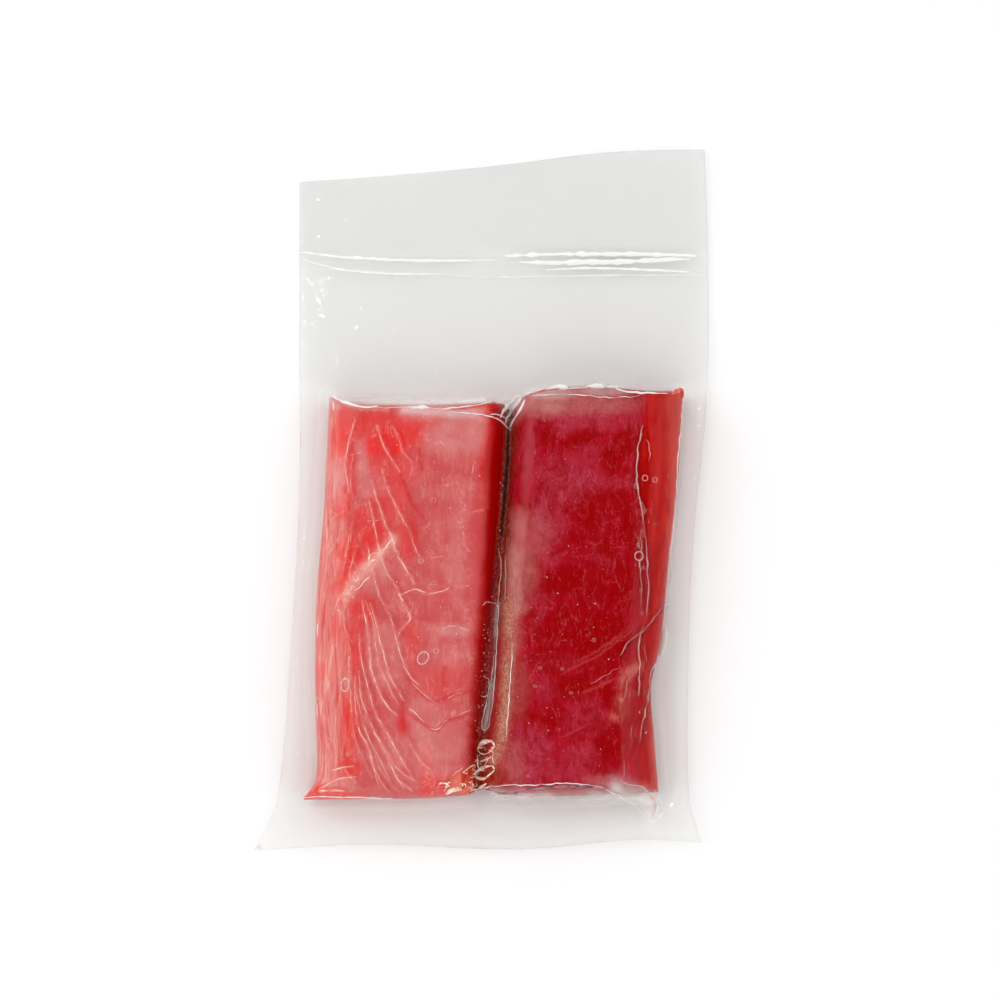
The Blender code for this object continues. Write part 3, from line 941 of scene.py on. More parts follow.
def closed_pair(top, bottom, step, welded):
    """Corners and faces of a closed form: a fine upper net over a lower one that is step times coarser."""
    rows, columns = top.shape[:2]
    index = np.arange(rows * columns).reshape(rows, columns)
    points = [top.reshape(-1, 3)]
    lower = np.full((rows, columns), -1)
    border = np.zeros((rows, columns), bool)
    border[0] = border[-1] = True
    border[:, 0] = border[:, -1] = True
    coarse = np.zeros((rows, columns), bool)
    coarse[::step, ::step] = True
    wanted = coarse & ~border if welded else coarse | border
    lower[border] = index[border]
    lower[wanted] = rows * columns + np.arange(wanted.sum())
    points.append(bottom[wanted])
    a, b = index[:-1, :-1], index[:-1, 1:]
    c, d = index[1:, 1:], index[1:, :-1]
    faces = np.stack([a, b, c, d], axis=-1).reshape(-1, 4).tolist()
    for r in range(0, rows - 1, step):
        for c0 in range(0, columns - 1, step):
            faces.append(lower_cell(lower, r, c0, step, rows, columns))
    if not welded:
        ring = border_ring(rows, columns)
        for (r0, c0), (r1, c1) in zip(ring, ring[1:] + ring[:1]):
            faces.append([int(lower[r0, c0]), int(lower[r1, c1]), int(index[r1, c1]), int(index[r0, c0])])
    return np.concatenate(points), faces


def lower_cell(lower, r, c, step, rows, columns):
    """One face of the lower net, seen from below, with the border's extra corners where it meets it."""
    face = [lower[r, c]]
    if c == 0:
        face += [lower[r + k, c] for k in range(1, step)]
    face.append(lower[r + step, c])
    if r + step == rows - 1:
        face += [lower[r + step, c + k] for k in range(1, step)]
    face.append(lower[r + step, c + step])
    if c + step == columns - 1:
        face += [lower[r + step - k, c + step] for k in range(1, step)]
    face.append(lower[r, c + step])
    if r == 0:
        face += [lower[r, c + step - k] for k in range(1, step)]
    return [int(v) for v in face]


def border_ring(rows, columns):
    """The border's places in order, against the clock from above."""
    ring = [(0, c) for c in range(columns - 1)]
    ring += [(r, columns - 1) for r in range(rows - 1)]
    ring += [(rows - 1, c) for c in range(columns - 1, 0, -1)]
    ring += [(r, 0) for r in range(rows - 1, 0, -1)]
    return ring


def new_piece(name, points, faces, material):
    """A mesh object from points in millimetres, linked to the scene."""
    mesh = bpy.data.meshes.new(name)
    mesh.from_pydata((np.asarray(points) * MM).tolist(), [], faces)
    mesh.validate()
    mesh.shade_smooth()
    mesh.materials.append(material)
    piece = bpy.data.objects.new(name, mesh)
    bpy.context.scene.collection.objects.link(piece)
    return piece


def bare_piece(name, points, edges=()):
    """An object of loose points or edges, in millimetres, for a node tree to grow on."""
    mesh = bpy.data.meshes.new(name)
    mesh.from_pydata((points * MM).tolist(), edges, [])
    piece = bpy.data.objects.new(name, mesh)
    bpy.context.scene.collection.objects.link(piece)
    return piece


def store(piece, name, values):
    """Keeps a number or a vector for each corner of the mesh, for its material or node tree to read."""
    values = np.array(values, np.float32)
    kind, key = ("FLOAT_VECTOR", "vector") if values.ndim == 2 else ("FLOAT", "value")
    layer = piece.data.attributes.new(name, kind, "POINT")
    layer.data.foreach_set(key, values.ravel())


# Node helpers


def light(r, g, b):
    """Scene colour of a screen colour from 0 to 255."""
    screen = np.array([r, g, b]) / 255
    scene = np.where(screen <= 0.04045, screen / 12.92, ((screen + 0.055) / 1.055) ** 2.4)
    return (*scene.tolist(), 1.0)


def opaque(colour):
    return (*colour, 1.0)


class Board:
    """A material's node tree, with short ways to lay its nodes."""

    def __init__(self, name):
        self.material = bpy.data.materials.new(name)
        self.material.use_nodes = True
        self.tree = self.material.node_tree
        self.tree.nodes.clear()
        self.output = self.tree.nodes.new("ShaderNodeOutputMaterial")

    def add(self, kind, **settings):
        node = self.tree.nodes.new(kind)
        for key, value in settings.items():
            setattr(node, key, value)
        return node

    def put(self, socket, value):
        if isinstance(value, bpy.types.NodeSocket):
            self.tree.links.new(value, socket)
        else:
            socket.default_value = value

    def attribute(self, name):
        return self.add("ShaderNodeAttribute", attribute_name=name).outputs["Fac"]

    def place(self, stretch=(1.0, 1.0, 1.0), turn=0.0):
        """Object coordinates, stretched and turned about Z."""
        mapping = self.add("ShaderNodeMapping")
        self.put(mapping.inputs["Vector"], self.add("ShaderNodeTexCoord").outputs["Object"])
        mapping.inputs["Scale"].default_value = stretch
        mapping.inputs["Rotation"].default_value = (0.0, 0.0, turn)
        return mapping.outputs["Vector"]

    def noise(self, size_mm, detail=3.0, roughness=0.55, distortion=0.0, place=None):
        node = self.add("ShaderNodeTexNoise")
        self.put(node.inputs["Vector"], place or self.place())
        node.inputs["Scale"].default_value = 1000.0 / size_mm
        node.inputs["Detail"].default_value = detail
        node.inputs["Roughness"].default_value = roughness
        node.inputs["Distortion"].default_value = distortion
        return node.outputs["Fac"]

    def spread(self, value, low, high, to_low=0.0, to_high=1.0):
        node = self.add("ShaderNodeMapRange", interpolation_type="SMOOTHSTEP")
        self.put(node.inputs["Value"], value)
        node.inputs["From Min"].default_value = low
        node.inputs["From Max"].default_value = high
        node.inputs["To Min"].default_value = to_low
        node.inputs["To Max"].default_value = to_high
        return node.outputs["Result"]

    def math(self, operation, a, b=0.0, c=0.0):
        node = self.add("ShaderNodeMath", operation=operation)
        self.put(node.inputs[0], a)
        self.put(node.inputs[1], b)
        self.put(node.inputs[2], c)
        return node.outputs["Value"]

    def times(self, a, b):
        return self.math("MULTIPLY", a, b)

    def mix(self, share, first, second):
        node = self.add("ShaderNodeMix", data_type="RGBA")
        self.put(node.inputs["Factor"], share)
        self.put(node.inputs["A"], first)
        self.put(node.inputs["B"], second)
        return node.outputs["Result"]

    def paint(self, colour, *coats):
        """A colour with coats laid over it in turn: (share, tone)."""
        for share, tone in coats:
            colour = self.mix(share, colour, tone)
        return colour

    def bump(self, height, strength, depth_mm):
        node = self.add("ShaderNodeBump")
        self.put(node.inputs["Height"], height)
        node.inputs["Strength"].default_value = strength
        node.inputs["Distance"].default_value = depth_mm * MM
        return node.outputs["Normal"]

    def wet(self, colour, roughness, specular, normal=None):
        """Ends the material as a moist surface."""
        shader = self.add("ShaderNodeBsdfPrincipled")
        self.put(shader.inputs["Base Color"], colour)
        self.put(shader.inputs["Roughness"], roughness)
        shader.inputs["Specular IOR Level"].default_value = specular
        if normal is not None:
            self.put(shader.inputs["Normal"], normal)
        self.put(self.output.inputs["Surface"], shader.outputs["BSDF"])
        return self.material


# Materials


HEADER_TINT = (0.80, 0.80, 0.785, 1.0)
CLEAR_TINT = (0.968, 0.968, 0.964, 1.0)


def hair_lines(board, size_mm, turn):
    """1 on thin wandering lines, like hair-fine veins and films of fat."""
    place = board.place((1.0, 0.45, 1.0), math.radians(turn))
    waves = board.noise(size_mm, 6.0, 0.6, 0.5, place)
    away = board.math("ABSOLUTE", board.math("SUBTRACT", waves, 0.5))
    return board.spread(away, 0.0, 0.014, 1.0, 0.0)


def left_meat_material(look):
    """Pink loin: pale flakes, a coral striped slope, red patches, a dark red band and milky haze."""
    board = Board("pale_tuna_meat")
    mark, spread, times = board.attribute, board.spread, board.times
    fine = board.noise(0.9, 5.0, 0.65)
    lumps = board.noise(7.0, 3.0, 0.55, 0.4)
    fibre = board.noise(1.1, 5.0, 0.7, 0.8, board.place((1.0, 0.14, 1.0), math.radians(-16)))
    stripes = board.noise(2.4, 4.0, 0.68, 1.1, board.place((1.0, 0.11, 1.0), math.radians(4)))
    wide = board.noise(3.4, 4.0, 0.6, 0.9, board.place((1.0, 0.35, 1.0), math.radians(-14)))
    flakes = board.paint(
        board.mix(spread(lumps, 0.30, 0.72), opaque(look.pink), opaque(look.rose)),
        (times(spread(wide, 0.50, 0.74), 0.5), light(206, 66, 66)),
        (times(spread(fibre, 0.50, 0.72), 0.45), light(224, 126, 120)),
        (times(spread(fine, 0.56, 0.74), 0.35), light(230, 140, 134)),
    )
    coral = board.paint(
        board.mix(spread(stripes, 0.36, 0.52), light(208, 78, 72), light(222, 124, 117)),
        (spread(stripes, 0.52, 0.66), light(234, 168, 158)),
        (times(spread(fine, 0.55, 0.75), 0.4), light(240, 186, 172)),
    )
    red = times(mark("red"), spread(fine, 0.25, 0.6, 0.7, 1.0))
    crumbs = board.mix(spread(wide, 0.40, 0.58), light(196, 48, 30), light(230, 122, 96))
    colour = board.paint(
        flakes,
        (times(mark("slope"), spread(wide, 0.3, 0.62, 1.0, 0.72)), coral),
        (times(red, spread(wide, 0.35, 0.6, 0.75, 1.0)), opaque(look.red)),
        (times(hair_lines(board, 5.0, -20), spread(lumps, 0.45, 0.6, 0.0, 0.4)), light(242, 176, 166)),
        (times(mark("milky"), spread(lumps, 0.25, 0.7, 0.55, 1.0)), light(222, 152, 150)),
        # Painted shadow: a darker red line beside each white seam
        (times(mark("vein"), spread(fine, 0.3, 0.6, 0.5, 1.0)), light(196, 46, 46)),
        (mark("fringe"), light(206, 8, 6)),
        (mark("band"), opaque(look.band)),
        # Painted shade in the creases, on the low side of the torn steps, beside the band and under a bubble,
        # with a few dark streaks
        (mark("dark"), light(198, 30, 38)),
        (times(mark("torn"), spread(wide, 0.35, 0.6, 0.6, 1.0)), light(238, 166, 154)),
        (mark("crumb"), crumbs),
        (times(mark("seam"), 0.4), light(234, 158, 148)),
        (mark("under"), light(196, 74, 72)),
    )
    relief = board.math("ADD", times(fibre, 0.6), times(fine, 0.4))
    return board.wet(colour, spread(fine, 0.3, 0.7, 0.32, 0.5), 0.03, board.bump(relief, 0.5, 0.12))


def right_meat_material(look):
    """Deep red loin: purple haze, pure red depths, a pale patch and a tan strip by the groove."""
    board = Board("dark_tuna_meat")
    mark, spread, times = board.attribute, board.spread, board.times
    fine = board.noise(0.9, 5.0, 0.68)
    lumps = board.noise(8.0, 5.0, 0.66, 1.0)
    diagonal = board.noise(2.2, 5.0, 0.7, 1.2, board.place((1.0, 0.28, 1.0), math.radians(-58)))
    stripes = board.noise(2.2, 4.0, 0.66, 0.8, board.place((1.0, 0.10, 1.0), math.radians(4)))
    mottle = board.math("ADD", times(lumps, 0.55), times(diagonal, 0.45))
    cloudy = board.math("ADD", times(mottle, 0.7), times(fine, 0.3))
    flakes = board.mix(spread(mottle, 0.42, 0.58), opaque(look.deep), opaque(look.wine))
    slope = board.mix(spread(stripes, 0.38, 0.62), light(160, 0, 0), light(186, 18, 12))
    hairs = times(hair_lines(board, 4.0, -50), spread(lumps, 0.40, 0.58, 0.08, 0.3))
    tan = board.mix(spread(fine, 0.35, 0.65), light(158, 82, 68), light(198, 136, 114))
    tan = board.mix(spread(mottle, 0.50, 0.62, 0.0, 0.7), tan, light(150, 48, 32))
    rust = board.mix(spread(fine, 0.42, 0.58), light(88, 8, 6), light(168, 64, 30))
    colour = board.paint(
        flakes,
        (mark("slope"), slope),
        (mark("coral"), light(206, 78, 66)),
        (times(mark("purple"), spread(cloudy, 0.42, 0.56, 0.25, 1.0)), opaque(look.purple)),
        (times(mark("red"), spread(cloudy, 0.42, 0.6, 1.0, 0.6)), light(150, 0, 2)),
        (times(mark("milky"), spread(cloudy, 0.36, 0.58, 0.6, 1.0)), opaque(look.haze)),
        (times(hairs, mark("veiny")), light(204, 104, 108)),
        (mark("tan"), tan),
        (mark("rust"), rust),
        # Painted shade by the groove's head and beside the film's creases
        (mark("dark"), light(110, 4, 7)),
        (times(mark("torn"), spread(diagonal, 0.42, 0.54, 0.2, 1.0)), light(198, 100, 88)),
        (mark("seam"), light(200, 84, 82)),
        (mark("under"), light(150, 28, 34)),
    )
    relief = board.math("ADD", times(diagonal, 0.6), times(fine, 0.4))
    return board.wet(colour, spread(fine, 0.3, 0.7, 0.3, 0.48), 0.02, board.bump(relief, 0.4, 0.1))


def film_material(name, haze, look, tint, glance=0.1, wrinkle_mm=0.4, mapped=False):
    """Clear film: see-through, with a mirror gloss that grows at a glance and a little white haze.

    A mapped film reads from its own mesh how hazy and how tight it is, and how far up the header it lies.
    """
    board = Board(name)
    body = opaque(tint)
    small = board.noise(2.0, 2.0, 0.55, 0.3)
    if mapped:
        body = board.mix(board.attribute("header"), body, HEADER_TINT)
        haze = board.times(board.attribute("haze"), haze)
        small = board.times(small, board.attribute("tight"))
    relief = board.math("ADD", board.times(board.noise(7.0, 2.0, 0.5, 0.6), 1.6), small)
    normal = board.bump(relief, 1.0, wrinkle_mm)
    facing = board.add("ShaderNodeLayerWeight")
    facing.inputs["Blend"].default_value = 0.5
    board.put(facing.inputs["Normal"], normal)
    mirror = board.math("POWER", facing.outputs["Facing"], 5.0)
    mirror = board.math("MULTIPLY_ADD", mirror, glance, look.gloss)
    solid = board.math("ADD", mirror, haze)
    metal = board.math("DIVIDE", mirror, board.math("MAXIMUM", solid, 0.001))
    shader = board.add("ShaderNodeBsdfPrincipled")
    board.put(shader.inputs["Base Color"], body)
    board.put(shader.inputs["Metallic"], metal)
    shader.inputs["Roughness"].default_value = 0.07
    board.put(shader.inputs["Normal"], normal)
    clear = board.add("ShaderNodeBsdfTransparent")
    clear.inputs["Color"].default_value = CLEAR_TINT
    blend = board.add("ShaderNodeMixShader")
    board.put(blend.inputs["Fac"], board.math("MINIMUM", solid, 1.0))
    board.put(blend.inputs[1], clear.outputs["BSDF"])
    board.put(blend.inputs[2], shader.outputs["BSDF"])
    board.put(board.output.inputs["Surface"], blend.outputs["Shader"])
    return board.material


def seam_material():
    """White connective tissue between the flakes, pinkish where it is thin."""
    board = Board("white_seam")
    shade = board.noise(3.0, 3.0, 0.6)
    colour = board.mix(board.spread(shade, 0.3, 0.7), light(228, 134, 124), light(255, 222, 210))
    normal = board.bump(board.noise(0.7), 0.4, 0.08)
    return board.wet(colour, board.spread(shade, 0.3, 0.7, 0.3, 0.5), 0.2, normal)


def scrap_material():
    """Scraps of fat and foam, off-white with reddish stains."""
    board = Board("fat_scrap")
    stain = board.noise(1.4, 4.0, 0.6)
    colour = board.mix(board.spread(stain, 0.35, 0.6), light(224, 150, 128), light(255, 236, 222))
    roughness = board.spread(stain, 0.3, 0.7, 0.25, 0.45)
    return board.wet(colour, roughness, 0.3, board.bump(stain, 0.4, 0.15))


def corner_juice_material():
    """Bright juice caught under the film at the pack's corners."""
    board = Board("corner_juice")
    depth = board.noise(2.0, 3.0, 0.6)
    colour = board.mix(board.spread(depth, 0.35, 0.65), light(196, 22, 14), light(228, 92, 66))
    roughness = board.spread(depth, 0.3, 0.7, 0.12, 0.3)
    return board.wet(colour, roughness, 0.2, board.bump(depth, 0.3, 0.1))


def foot_juice_material():
    """A thin smear of juice, mauve where the pale film shows through it."""
    board = Board("foot_juice")
    depth = board.noise(3.0, 3.0, 0.6)
    colour = board.mix(board.spread(depth, 0.35, 0.65), light(122, 66, 80), light(182, 134, 142))
    return board.wet(colour, board.spread(depth, 0.3, 0.7, 0.2, 0.35), 0.1)


def groove_juice_material():
    """Dark maroon juice with a wet gloss, speckled where it is thin, with its tan strip, dark slot and a
    painted shadow line.
    """
    board = Board("groove_juice")
    mark, spread = board.attribute, board.spread
    speckle = board.noise(0.7, 5.0, 0.7)
    blotch = board.noise(4.0, 3.0, 0.6)
    maroon = board.mix(spread(speckle, 0.42, 0.62), light(116, 8, 8), light(176, 70, 40))
    tan = board.mix(spread(speckle, 0.35, 0.65), light(166, 92, 76), light(208, 154, 130))
    tan = board.mix(spread(blotch, 0.48, 0.62, 0.0, 0.8), tan, light(146, 40, 26))
    red = board.mix(spread(blotch, 0.3, 0.7), light(206, 6, 4), light(228, 20, 14))
    slot = board.mix(spread(speckle, 0.4, 0.62), light(146, 12, 22), light(182, 66, 66))
    colour = board.paint(
        maroon,
        (board.times(spread(blotch, 0.5, 0.75), 0.5), light(160, 62, 44)),
        (mark("tan"), tan),
        (mark("west"), red),
        (mark("slot"), slot),
        # Painted shade: the near-black line deep in the groove
        (mark("line"), light(26, 3, 4)),
    )
    roughness = spread(speckle, 0.3, 0.7, 0.12, 0.3)
    return board.wet(colour, roughness, 0.1, board.bump(speckle, 0.4, 0.12))


# Settings


class TunaPackSettings(bpy.types.PropertyGroup):
    """Colours, gloss and lights that a user may want to change."""

    pink: bpy.props.FloatVectorProperty(
        name="Pale meat", description="Main colour of the pale fillet", subtype="COLOR",
        size=3, min=0, max=1, default=light(198, 80, 81)[:3],
    )
    rose: bpy.props.FloatVectorProperty(
        name="Pale meat, lighter", description="Lighter flakes of the pale fillet", subtype="COLOR",
        size=3, min=0, max=1, default=light(205, 101, 100)[:3],
    )
    red: bpy.props.FloatVectorProperty(
        name="Red patches", description="Saturated patches of the pale fillet", subtype="COLOR",
        size=3, min=0, max=1, default=light(232, 36, 32)[:3],
    )
    band: bpy.props.FloatVectorProperty(
        name="Red band", description="Dark band of the pale fillet along the groove", subtype="COLOR",
        size=3, min=0, max=1, default=light(166, 1, 1)[:3],
    )
    deep: bpy.props.FloatVectorProperty(
        name="Deep meat", description="Depths of the dark fillet", subtype="COLOR",
        size=3, min=0, max=1, default=light(150, 2, 8)[:3],
    )
    wine: bpy.props.FloatVectorProperty(
        name="Deep meat, lighter", description="Lighter flakes of the dark fillet", subtype="COLOR",
        size=3, min=0, max=1, default=light(172, 16, 38)[:3],
    )
    purple: bpy.props.FloatVectorProperty(
        name="Purple haze", description="Bluish haze on the dark fillet", subtype="COLOR",
        size=3, min=0, max=1, default=light(172, 50, 70)[:3],
    )
    haze: bpy.props.FloatVectorProperty(
        name="Pale haze", description="Grey pink haze on the dark fillet", subtype="COLOR",
        size=3, min=0, max=1, default=light(190, 124, 119)[:3],
    )
    film_haze: bpy.props.FloatProperty(
        name="Film haze", description="Share of light that the free film scatters",
        subtype="FACTOR", min=0, max=1, default=0.12,
    )
    gloss: bpy.props.FloatProperty(
        name="Film gloss", description="Share of light that the film mirrors when seen square on",
        subtype="FACTOR", min=0, max=1, default=0.010,
    )
    sky: bpy.props.FloatProperty(
        name="Room light", description="Strength of the soft light from all round", min=0, max=10,
        default=1.12,
    )
    lamp: bpy.props.FloatProperty(
        name="Soft box power", description="Power of each soft box", subtype="POWER", min=0, max=500,
        default=4.8,
    )


def settings():
    return bpy.context.scene.tuna_pack


# Pieces


def meat_masks(fillet, x, y, z):
    """Where each tone of the meat lies, one number from 0 to 1 per corner."""
    pixels = picture_at(x, y, z)
    make = left_masks if fillet is LEFT_FILLET else right_masks
    masks = make(x, y, *ragged_pixels(x, y, *pixels), *bent_pixels(x, y, *pixels))
    below = smoothstep((OUTLINE_HEIGHT - z) / 2.5)
    for name in masks:
        masks[name] = np.clip(masks[name], 0, 1) * (1 - below)
    masks["under"] = below * 0.8
    return masks


# Tones of the pale fillet: (strength, middle, reach) in pixels
LEFT_REDS = (
    (0.95, (386, 442), (24, 19)), (0.75, (404, 434), (20, 18)), (0.6, (375, 428), (36, 18)),
    (0.7, (344, 436), (12, 26)), (0.4, (420, 424), (14, 12)), (0.5, (394, 468), (24, 22)),
    (0.5, (352, 476), (8, 28)), (0.45, (388, 500), (20, 30)), (0.6, (341, 506), (9, 14)),
    (0.8, (352, 556), (14, 24)), (0.7, (374, 536), (14, 18)), (0.6, (362, 520), (12, 16)),
    (0.8, (344, 584), (9, 20)), (0.5, (408, 540), (10, 20)), (0.7, (350, 722), (9, 34)),
    (0.45, (338, 628), (8, 14)), (0.35, (322, 672), (10, 10)), (0.5, (355, 646), (10, 34)),
    (0.6, (362, 610), (12, 18)), (0.3, (444, 680), (26, 18)), (0.3, (412, 640), (9, 28)),
    (0.7, (312, 792), (16, 10)), (0.7, (336, 796), (26, 5)), (0.5, (434, 786), (16, 14)),
    (0.6, (350, 768), (12, 10)), (0.4, (424, 760), (8, 14)), (0.5, (402, 722), (5, 12)),
)
LEFT_MILKY = (
    (0.45, (462, 432), (34, 22)), (0.4, (436, 742), (30, 22)), (0.35, (424, 712), (20, 14)),
    (0.45, (382, 640), (18, 16)), (0.35, (454, 630), (18, 7)), (0.25, (444, 660), (18, 20)),
    (0.35, (362, 466), (7, 26)), (0.3, (375, 488), (12, 12)), (0.35, (384, 668), (16, 18)),
    (0.4, (376, 574), (16, 16)), (0.5, (336, 486), (8, 22)), (0.25, (438, 770), (30, 10)),
    (0.4, (340, 784), (18, 6)), (0.3, (402, 760), (30, 26)), (0.2, (460, 560), (16, 60)),
)
LEFT_HEAD_HAZE = ((412, 409), (455, 414), (500, 422))
LEFT_HEAD_TEAR = ((333, 394), (351, 408), (389, 410))
LEFT_SHADES = ((0.35, (474, 570), (10, 62)), (0.3, (412, 535), (7, 24)))
LEFT_BUBBLE_SHADE = ((0.45, (423, 659), (10, 8)),)
CRUMBS = ((0.9, (474, 782), (24, 15)),)
# Dark lines of the pale fillet: (strength, half width, pixels), the widths in pixels too
LEFT_DARK_STREAKS = (
    (0.6, 3.6, ((404, 706), (401, 717), (404, 729))),
    (0.5, 3.6, ((445, 669), (443, 678), (444, 685))),
)


def left_masks(x, y, column, row, bx, by):
    """Tones of the pale fillet. Lines go by the ragged pixels, patches and borders by the bent ones."""
    milky = strongest_patch(bx, by, LEFT_MILKY, 1.0)
    inward = column + 0.5 * (bx - column) - at_row(BAND_BORDER, by)
    creases = [(0.6, 2.4, path) for path in DARK_CREASES.values()]
    dark = [
        strongest_line(column, row, creases, 0.6),
        strongest_line(column, row, LEFT_DARK_STREAKS),
        strongest_patch(column, row, LEFT_BUBBLE_SHADE, 0.8),
        strongest_patch(bx, by, LEFT_SHADES, 1.0),
    ]
    # Painted shade on the low side of each torn step
    for path in LEFT_TORN_EDGES.values():
        distance, _, side = along_path(column, row, path)
        dark.append(0.5 * bell(distance - 2.0, 2.2) * (side > 0))
    torn = 0.9 * near_path(column + 0.4 * (bx - column), row, TORN_BAND, 6.0)
    seams = [(strength, SEAM_TONE_REACH, path) for strength, _, path in LEFT_SEAMS.values()]
    # Painted shadow lines beside the white seams
    veins = [(0.45 * strength, SEAM_SHADOW_REACH, path) for strength, _, path in LEFT_SEAMS.values()]
    return {
        "slope": smoothstep((at_row(SLOPE_BORDER, by) - bx) / 16 + 0.5),
        "red": strongest_patch(bx, by, LEFT_REDS, 1.0),
        "milky": np.maximum(milky, 0.6 * near_path(bx, by, LEFT_HEAD_HAZE, 11)),
        "band": smoothstep(inward / 12 + 0.6),
        "fringe": bell(inward + 1.0, 7.0) * (0.35 + 0.65 * smoothstep((540 - row) / 120)),
        "dark": np.maximum.reduce(dark),
        "torn": np.maximum(torn, 0.5 * near_path(column, row, LEFT_HEAD_TEAR, 1.8)),
        "crumb": strongest_patch(bx, by, CRUMBS, 0.7),
        "seam": strongest_line(column, row, seams, 0.5),
        "vein": strongest_line(column - SEAM_SHADOW_OFFSET[0], row - SEAM_SHADOW_OFFSET[1], veins, 0.4),
    }


# Tones of the dark fillet: (strength, middle, reach) in pixels
RIGHT_REDS = (
    (0.9, (579, 438), (16, 9)), (1.0, (628, 440), (13, 12)), (1.0, (612, 460), (13, 15)),
    (0.7, (594, 508), (32, 20)), (0.7, (578, 548), (22, 16)), (1.0, (631, 522), (9, 28)),
    (1.0, (608, 546), (18, 12)), (1.0, (576, 582), (36, 15)), (1.0, (622, 585), (16, 34)),
    (1.0, (586, 632), (54, 28)), (0.7, (560, 662), (30, 12)), (1.0, (575, 685), (20, 10)),
    (0.9, (612, 662), (24, 16)), (0.8, (552, 716), (18, 16)), (1.0, (615, 746), (18, 17)),
    (0.6, (598, 700), (20, 14)), (0.5, (545, 430), (12, 10)), (0.6, (560, 470), (14, 10)),
    (0.7, (632, 700), (12, 30)),
)
RIGHT_PURPLES = (
    (0.8, (580, 412), (56, 20)), (0.6, (528, 456), (9, 34)), (0.6, (588, 453), (14, 11)),
    (0.8, (568, 480), (34, 22)), (0.6, (620, 484), (18, 7)), (0.9, (548, 516), (18, 34)),
    (0.5, (552, 556), (10, 12)), (0.3, (606, 555), (18, 10)), (0.5, (554, 662), (24, 9)),
    (0.6, (598, 715), (12, 10)), (1.0, (528, 756), (20, 30)), (0.7, (566, 773), (32, 11)),
    (0.7, (582, 760), (22, 16)), (0.5, (545, 690), (14, 14)), (0.4, (587, 718), (24, 18)),
    (0.6, (608, 776), (18, 8)), (0.5, (538, 600), (8, 30)),
)
RIGHT_MILKY = (
    (0.85, (546, 400), (28, 14)), (0.45, (584, 401), (52, 13)), (0.5, (516, 530), (12, 20)),
    (0.95, (511, 566), (11, 30)), (0.5, (520, 566), (15, 34)), (0.8, (515, 600), (11, 20)),
    (0.25, (514, 634), (10, 26)), (0.22, (519, 690), (9, 30)), (0.25, (534, 536), (16, 24)),
    (0.35, (604, 780), (18, 6)), (0.3, (515, 765), (10, 24)),
)
RIGHT_CORAL_BORDER = (
    (390, 665), (470, 669), (540, 668), (600, 666), (680, 655), (740, 651), (800, 657),
)
TAN_STRIP = ((508, 600), (508, 648), (505, 696), (502, 737), (497, 752), (491, 764))
RED_STREAK = ((530, 408), (524, 424), (517, 447))
RIGHT_TORN_EDGE = ((639, 667), (630, 674), (623, 684), (627, 692), (621, 702), (617, 717))
# Lines of the dark fillet: (strength, half width, pixels), the widths in pixels too
RUST_FLECKS = (
    (0.5, 4.0, ((516, 430), (515, 455), (513, 480))),
    (0.9, 3.8, ((512, 476), (510, 505), (508, 540))),
)
RUST_LINE = ((0.6, 3.0, ((508, 540), (506, 570), (505, 600))),)
RUST_CLOT = ((0.6, (490, 775), (10, 10)),)
# Painted shade: the dark line where the groove is deep at the head, and the shadow of the diagonal film fold
RIGHT_SHADE_LINES = (
    (0.7, 3.0, ((507, 428), (506, 470), (504, 500))),
    (0.4, 3.0, ((668, 600), (655, 616), (642, 633))),
)
# How many of the film's creases, from the first, throw a painted shadow line on the meat
SHADED_CREASES = 7
RIGHT_GRAIN_LINES = (
    ((575, 667), (598, 656), (617, 641), (639, 625)),
    ((579, 695), (590, 690), (603, 683)),
    ((559, 738), (573, 732), (586, 725)),
    ((560, 676), (572, 668), (588, 661), (604, 652)),
    ((577, 661), (592, 654), (606, 645), (623, 633), (634, 624)),
    ((583, 692), (595, 689), (608, 682), (618, 676)),
    ((585, 541), (594, 544), (602, 543)),
    ((545, 598), (551, 602), (557, 606)),
    ((553, 475), (560, 480), (566, 476)),
)


def right_masks(x, y, column, row, bx, by):
    """Tones of the dark fillet, made in the same way."""
    slope = smoothstep((bx - at_row(CREASE_LINE, by)) / 10 + 0.45)
    milky = strongest_patch(bx, by, RIGHT_MILKY, 1.1)
    reds = strongest_patch(bx, by, RIGHT_REDS, 0.9) * (1 - 0.8 * milky)
    flecks = smoothstep(0.5 + 1.4 * clouds(x, y, 1.6, 211))
    rust = [
        flecks * strongest_line(column, row, RUST_FLECKS),
        strongest_line(column, row, RUST_LINE),
        strongest_patch(bx, by, RUST_CLOT, 0.8),
    ]
    creases = [path for _, _, path in FILM_CREASES[:SHADED_CREASES]]
    dark = [
        strongest_line(column, row, RIGHT_SHADE_LINES),
        # Painted shadows beside the film's creases, on both sides
        strongest_line(column - 2.4, row - 1.0, [(0.55, 1.9, path) for path in creases]),
        strongest_line(column + 2.6, row, [(0.4, 1.6, path) for path in creases]),
    ]
    grain = [(0.3, 1.0, path) for path in RIGHT_GRAIN_LINES]
    return {
        "slope": slope,
        "coral": 0.45 * smoothstep((bx - at_row(RIGHT_CORAL_BORDER, by)) / 10 + 0.5),
        "red": np.maximum(reds, 0.9 * near_path(bx, by, RED_STREAK, 4)),
        "purple": strongest_patch(bx, by, RIGHT_PURPLES, 1.1),
        "milky": milky,
        "tan": near_path(column, row, TAN_STRIP, 6.5),
        "rust": np.maximum.reduce(rust),
        "dark": np.maximum.reduce(dark),
        "torn": 0.8 * near_path(bx, by, RIGHT_TORN_EDGE, 5),
        "seam": strongest_line(column, row, grain, 0.7),
        "veiny": 1 - 0.8 * slope,
    }


# The meat's net, and how much coarser an underside is than its top
MEAT_COLUMNS = 150
MEAT_ROWS = 330
UNDERSIDE_STEP = 3
UNDERSIDE_ROUGHNESS = 0.12


